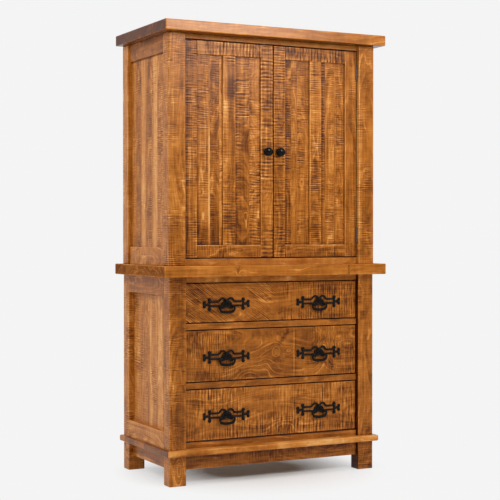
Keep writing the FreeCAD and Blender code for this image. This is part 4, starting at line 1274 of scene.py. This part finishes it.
def bail_mesh(name, x0, z0):
    made = Casting(name)
    pivot = z0 + ear[1]
    low = pivot - bail_drop
    turn = np.linspace(0, math.pi / 2, 9)
    half = [(bail_half, pivot - d) for d in np.linspace(0, bail_drop - bail_corner, 5)[:-1]]
    half += [(bail_half - bail_corner * (1 - math.cos(a)), low + bail_corner * (1 - math.sin(a)))
             for a in turn]
    flat = bail_half - bail_corner
    half += [(x, low - bail_sag * (1 - (x / flat) ** 2)) for x in np.linspace(flat, 0, 9)[1:]]
    route = half + [(-x, z) for x, z in half[-2::-1]]
    path = smooth_path([(x0 + x, bail_y, z) for x, z in route], 4)
    run = np.concatenate([[0], np.cumsum(np.linalg.norm(np.diff(path, axis=0), axis=1))])
    run -= run[-1] / 2
    inside = grip_half - np.abs(run)
    grip = np.clip(inside / grip_fade, 0, 1)
    made.add(*sweep(path, bail_r * (1 - grip) + grip_core_r * grip))
    keep = inside > 0
    core, along = path[keep], run[keep]
    tight = np.clip(inside[keep] / twist_fade, 0.35, 1)
    tangent = np.gradient(core, axis=0)
    tangent /= np.linalg.norm(tangent, axis=1)[:, None]
    out_y = np.array([0.0, 1.0, 0.0])
    side = np.cross(tangent, out_y)
    for k in range(3):
        turn = 2 * math.pi * (along / twist_pitch + k / 3)
        ring = side * np.cos(turn)[:, None] + out_y * np.sin(turn)[:, None]
        made.add(*sweep(core + ring * twist_ring * tight[:, None], twist_r * (0.6 + 0.4 * tight), 8))
    for way in (-1, 1):
        ball = [(x0 + way * bail_half, bail_y + d, pivot) for d in (-0.0004, 0.0004)]
        made.add(*sweep(ball, bail_end_r, 14))
        pin = [(x0 + way * x, bail_y, pivot) for x in np.linspace(bail_pin_x, bail_half, 4)]
        made.add(*sweep(pin, bail_pin_r))
    return made.mesh()


for drawer in drawer_cuts:
    for side, middle, level in pull_places(drawer):
        node_name = f"drawer_{drawer}_bail_{side}"
        fit_piece(bail_mesh(node_name + "_forged", middle, level), black_iron,
                  node_name, f"bail_{drawer}_{side}")


# ---------------------------------------------------------------- knobs and hinges
# Turned knobs in polished black, each held by a screw from inside the lock stile, and butt
# hinges with five knuckles and tipped pins in dark bronze.
black_gloss = small_finish(
    "black_gloss", (260, 2.0, 0.5), [(0.3, (0.003, 0.003, 0.0028)), (0.7, (0.006, 0.0055, 0.005))],
    (0.03, 0.04), tint=(90, 3.0, 0.6), relief=(0.12, 0.0006), shine=0.1)
dark_bronze = small_finish(
    "dark_bronze", (320, 4.0, 0.65), [(0.3, (0.05, 0.033, 0.023)), (0.55, (0.12, 0.080, 0.055)),
                                      (0.75, (0.24, 0.165, 0.115))],
    (0.3, 0.3), relief=(0.25, 0.0003), metal=0.6)
for side in ("left", "right"):
    finish_node(f"door_{side}_knob", black_gloss)
    finish_node(f"door_{side}_hinge_leaves", dark_bronze)
    finish_node(f"door_{side}_catch_plate", zinc)
finish_node("hinge_frame_leaves", dark_bronze)
finish_node("hinge_pins", dark_bronze)
finish_node("shelf_pins", zinc)


# ---------------------------------------------------------------- inside and back
# The upper case's floor, shelf and rails and the drawers' runners are planed maple in the same
# stain. The backs and drawer bottoms are plywood, and the drawer boxes clear-finished maple. The
# doors' magnetic catches have brown moulded cases.
CLEAR_MAPLE = [
    (0.0, (0.25, 0.14, 0.07)),
    (0.35, (0.50, 0.33, 0.18)),
    (0.6, (0.66, 0.48, 0.29)),
    (1.0, (0.80, 0.66, 0.46)),
]
PLY_STAIN = [
    (0.0, (0.11, 0.040, 0.009)),
    (0.4, (0.25, 0.100, 0.023)),
    (0.65, (0.35, 0.155, 0.040)),
    (1.0, (0.50, 0.26, 0.085)),
]
box_side_x = 0.4005


def box_grain(tree):
    """The grain of a drawer box: along y in its sides and along x in its back."""
    part = split(tree, node(tree, "TexCoord").outputs["Object"])
    side = maths(tree, "GREATER_THAN", maths(tree, "ABSOLUTE", part[0]), box_side_x)
    along = node(tree, "Mix", {0: side, 2: part[0], 3: part[1]}, data_type="FLOAT").outputs[0]
    off = node(tree, "Mix", {0: side, 2: part[1], 3: part[0]}, data_type="FLOAT").outputs[0]
    nothing = joined(tree)
    return joined(tree, along, part[2], maths(tree, "ADD", off, part[2])), nothing, nothing


inner_maple = {axis: stained_maple(f"inner_maple_{axis}", start=0.52, streak=0.8, cloud=0.5,
                                   patch=0.05, gloss=0.48, places=straight_grain(k))
               for k, axis in enumerate("xy")}
clear_maple = stained_maple("clear_maple", start=0.62, streak=0.5, cloud=0.3, patch=0.0,
                            gloss=0.42, places=box_grain, stops=CLEAR_MAPLE)
ply_back = stained_maple("ply_back", start=0.5, streak=0.55, cloud=0.35, patch=0.0, gloss=0.55,
                         places=straight_grain(2), stops=PLY_STAIN)
ply_bottom = stained_maple("ply_bottom", start=0.6, streak=0.5, cloud=0.3, patch=0.0, gloss=0.55,
                           places=straight_grain(0), stops=CLEAR_MAPLE)
magnet_case = small_finish("magnet_case", (1200, 2.0, 0.5),
                           [(0.3, (0.07, 0.042, 0.028)), (0.7, (0.12, 0.075, 0.05))],
                           (0.4, 0.2), relief=(0.3, 0.0002))
for name in ("upper_floor", "upper_shelf", "upper_back_rails", "lower_back_rails", "back_apron"):
    finish_node(name, inner_maple["x"])
for name in ("drawer_runners", "drawer_guides"):
    finish_node(name, inner_maple["y"])
for name in ("upper_back_panel", "lower_back_panel"):
    finish_node(name, ply_back)
for drawer in drawer_cuts:
    finish_node(f"drawer_{drawer}_box", clear_maple)
    finish_node(f"drawer_{drawer}_bottom", ply_bottom)
finish_node("door_catch_magnets", magnet_case)
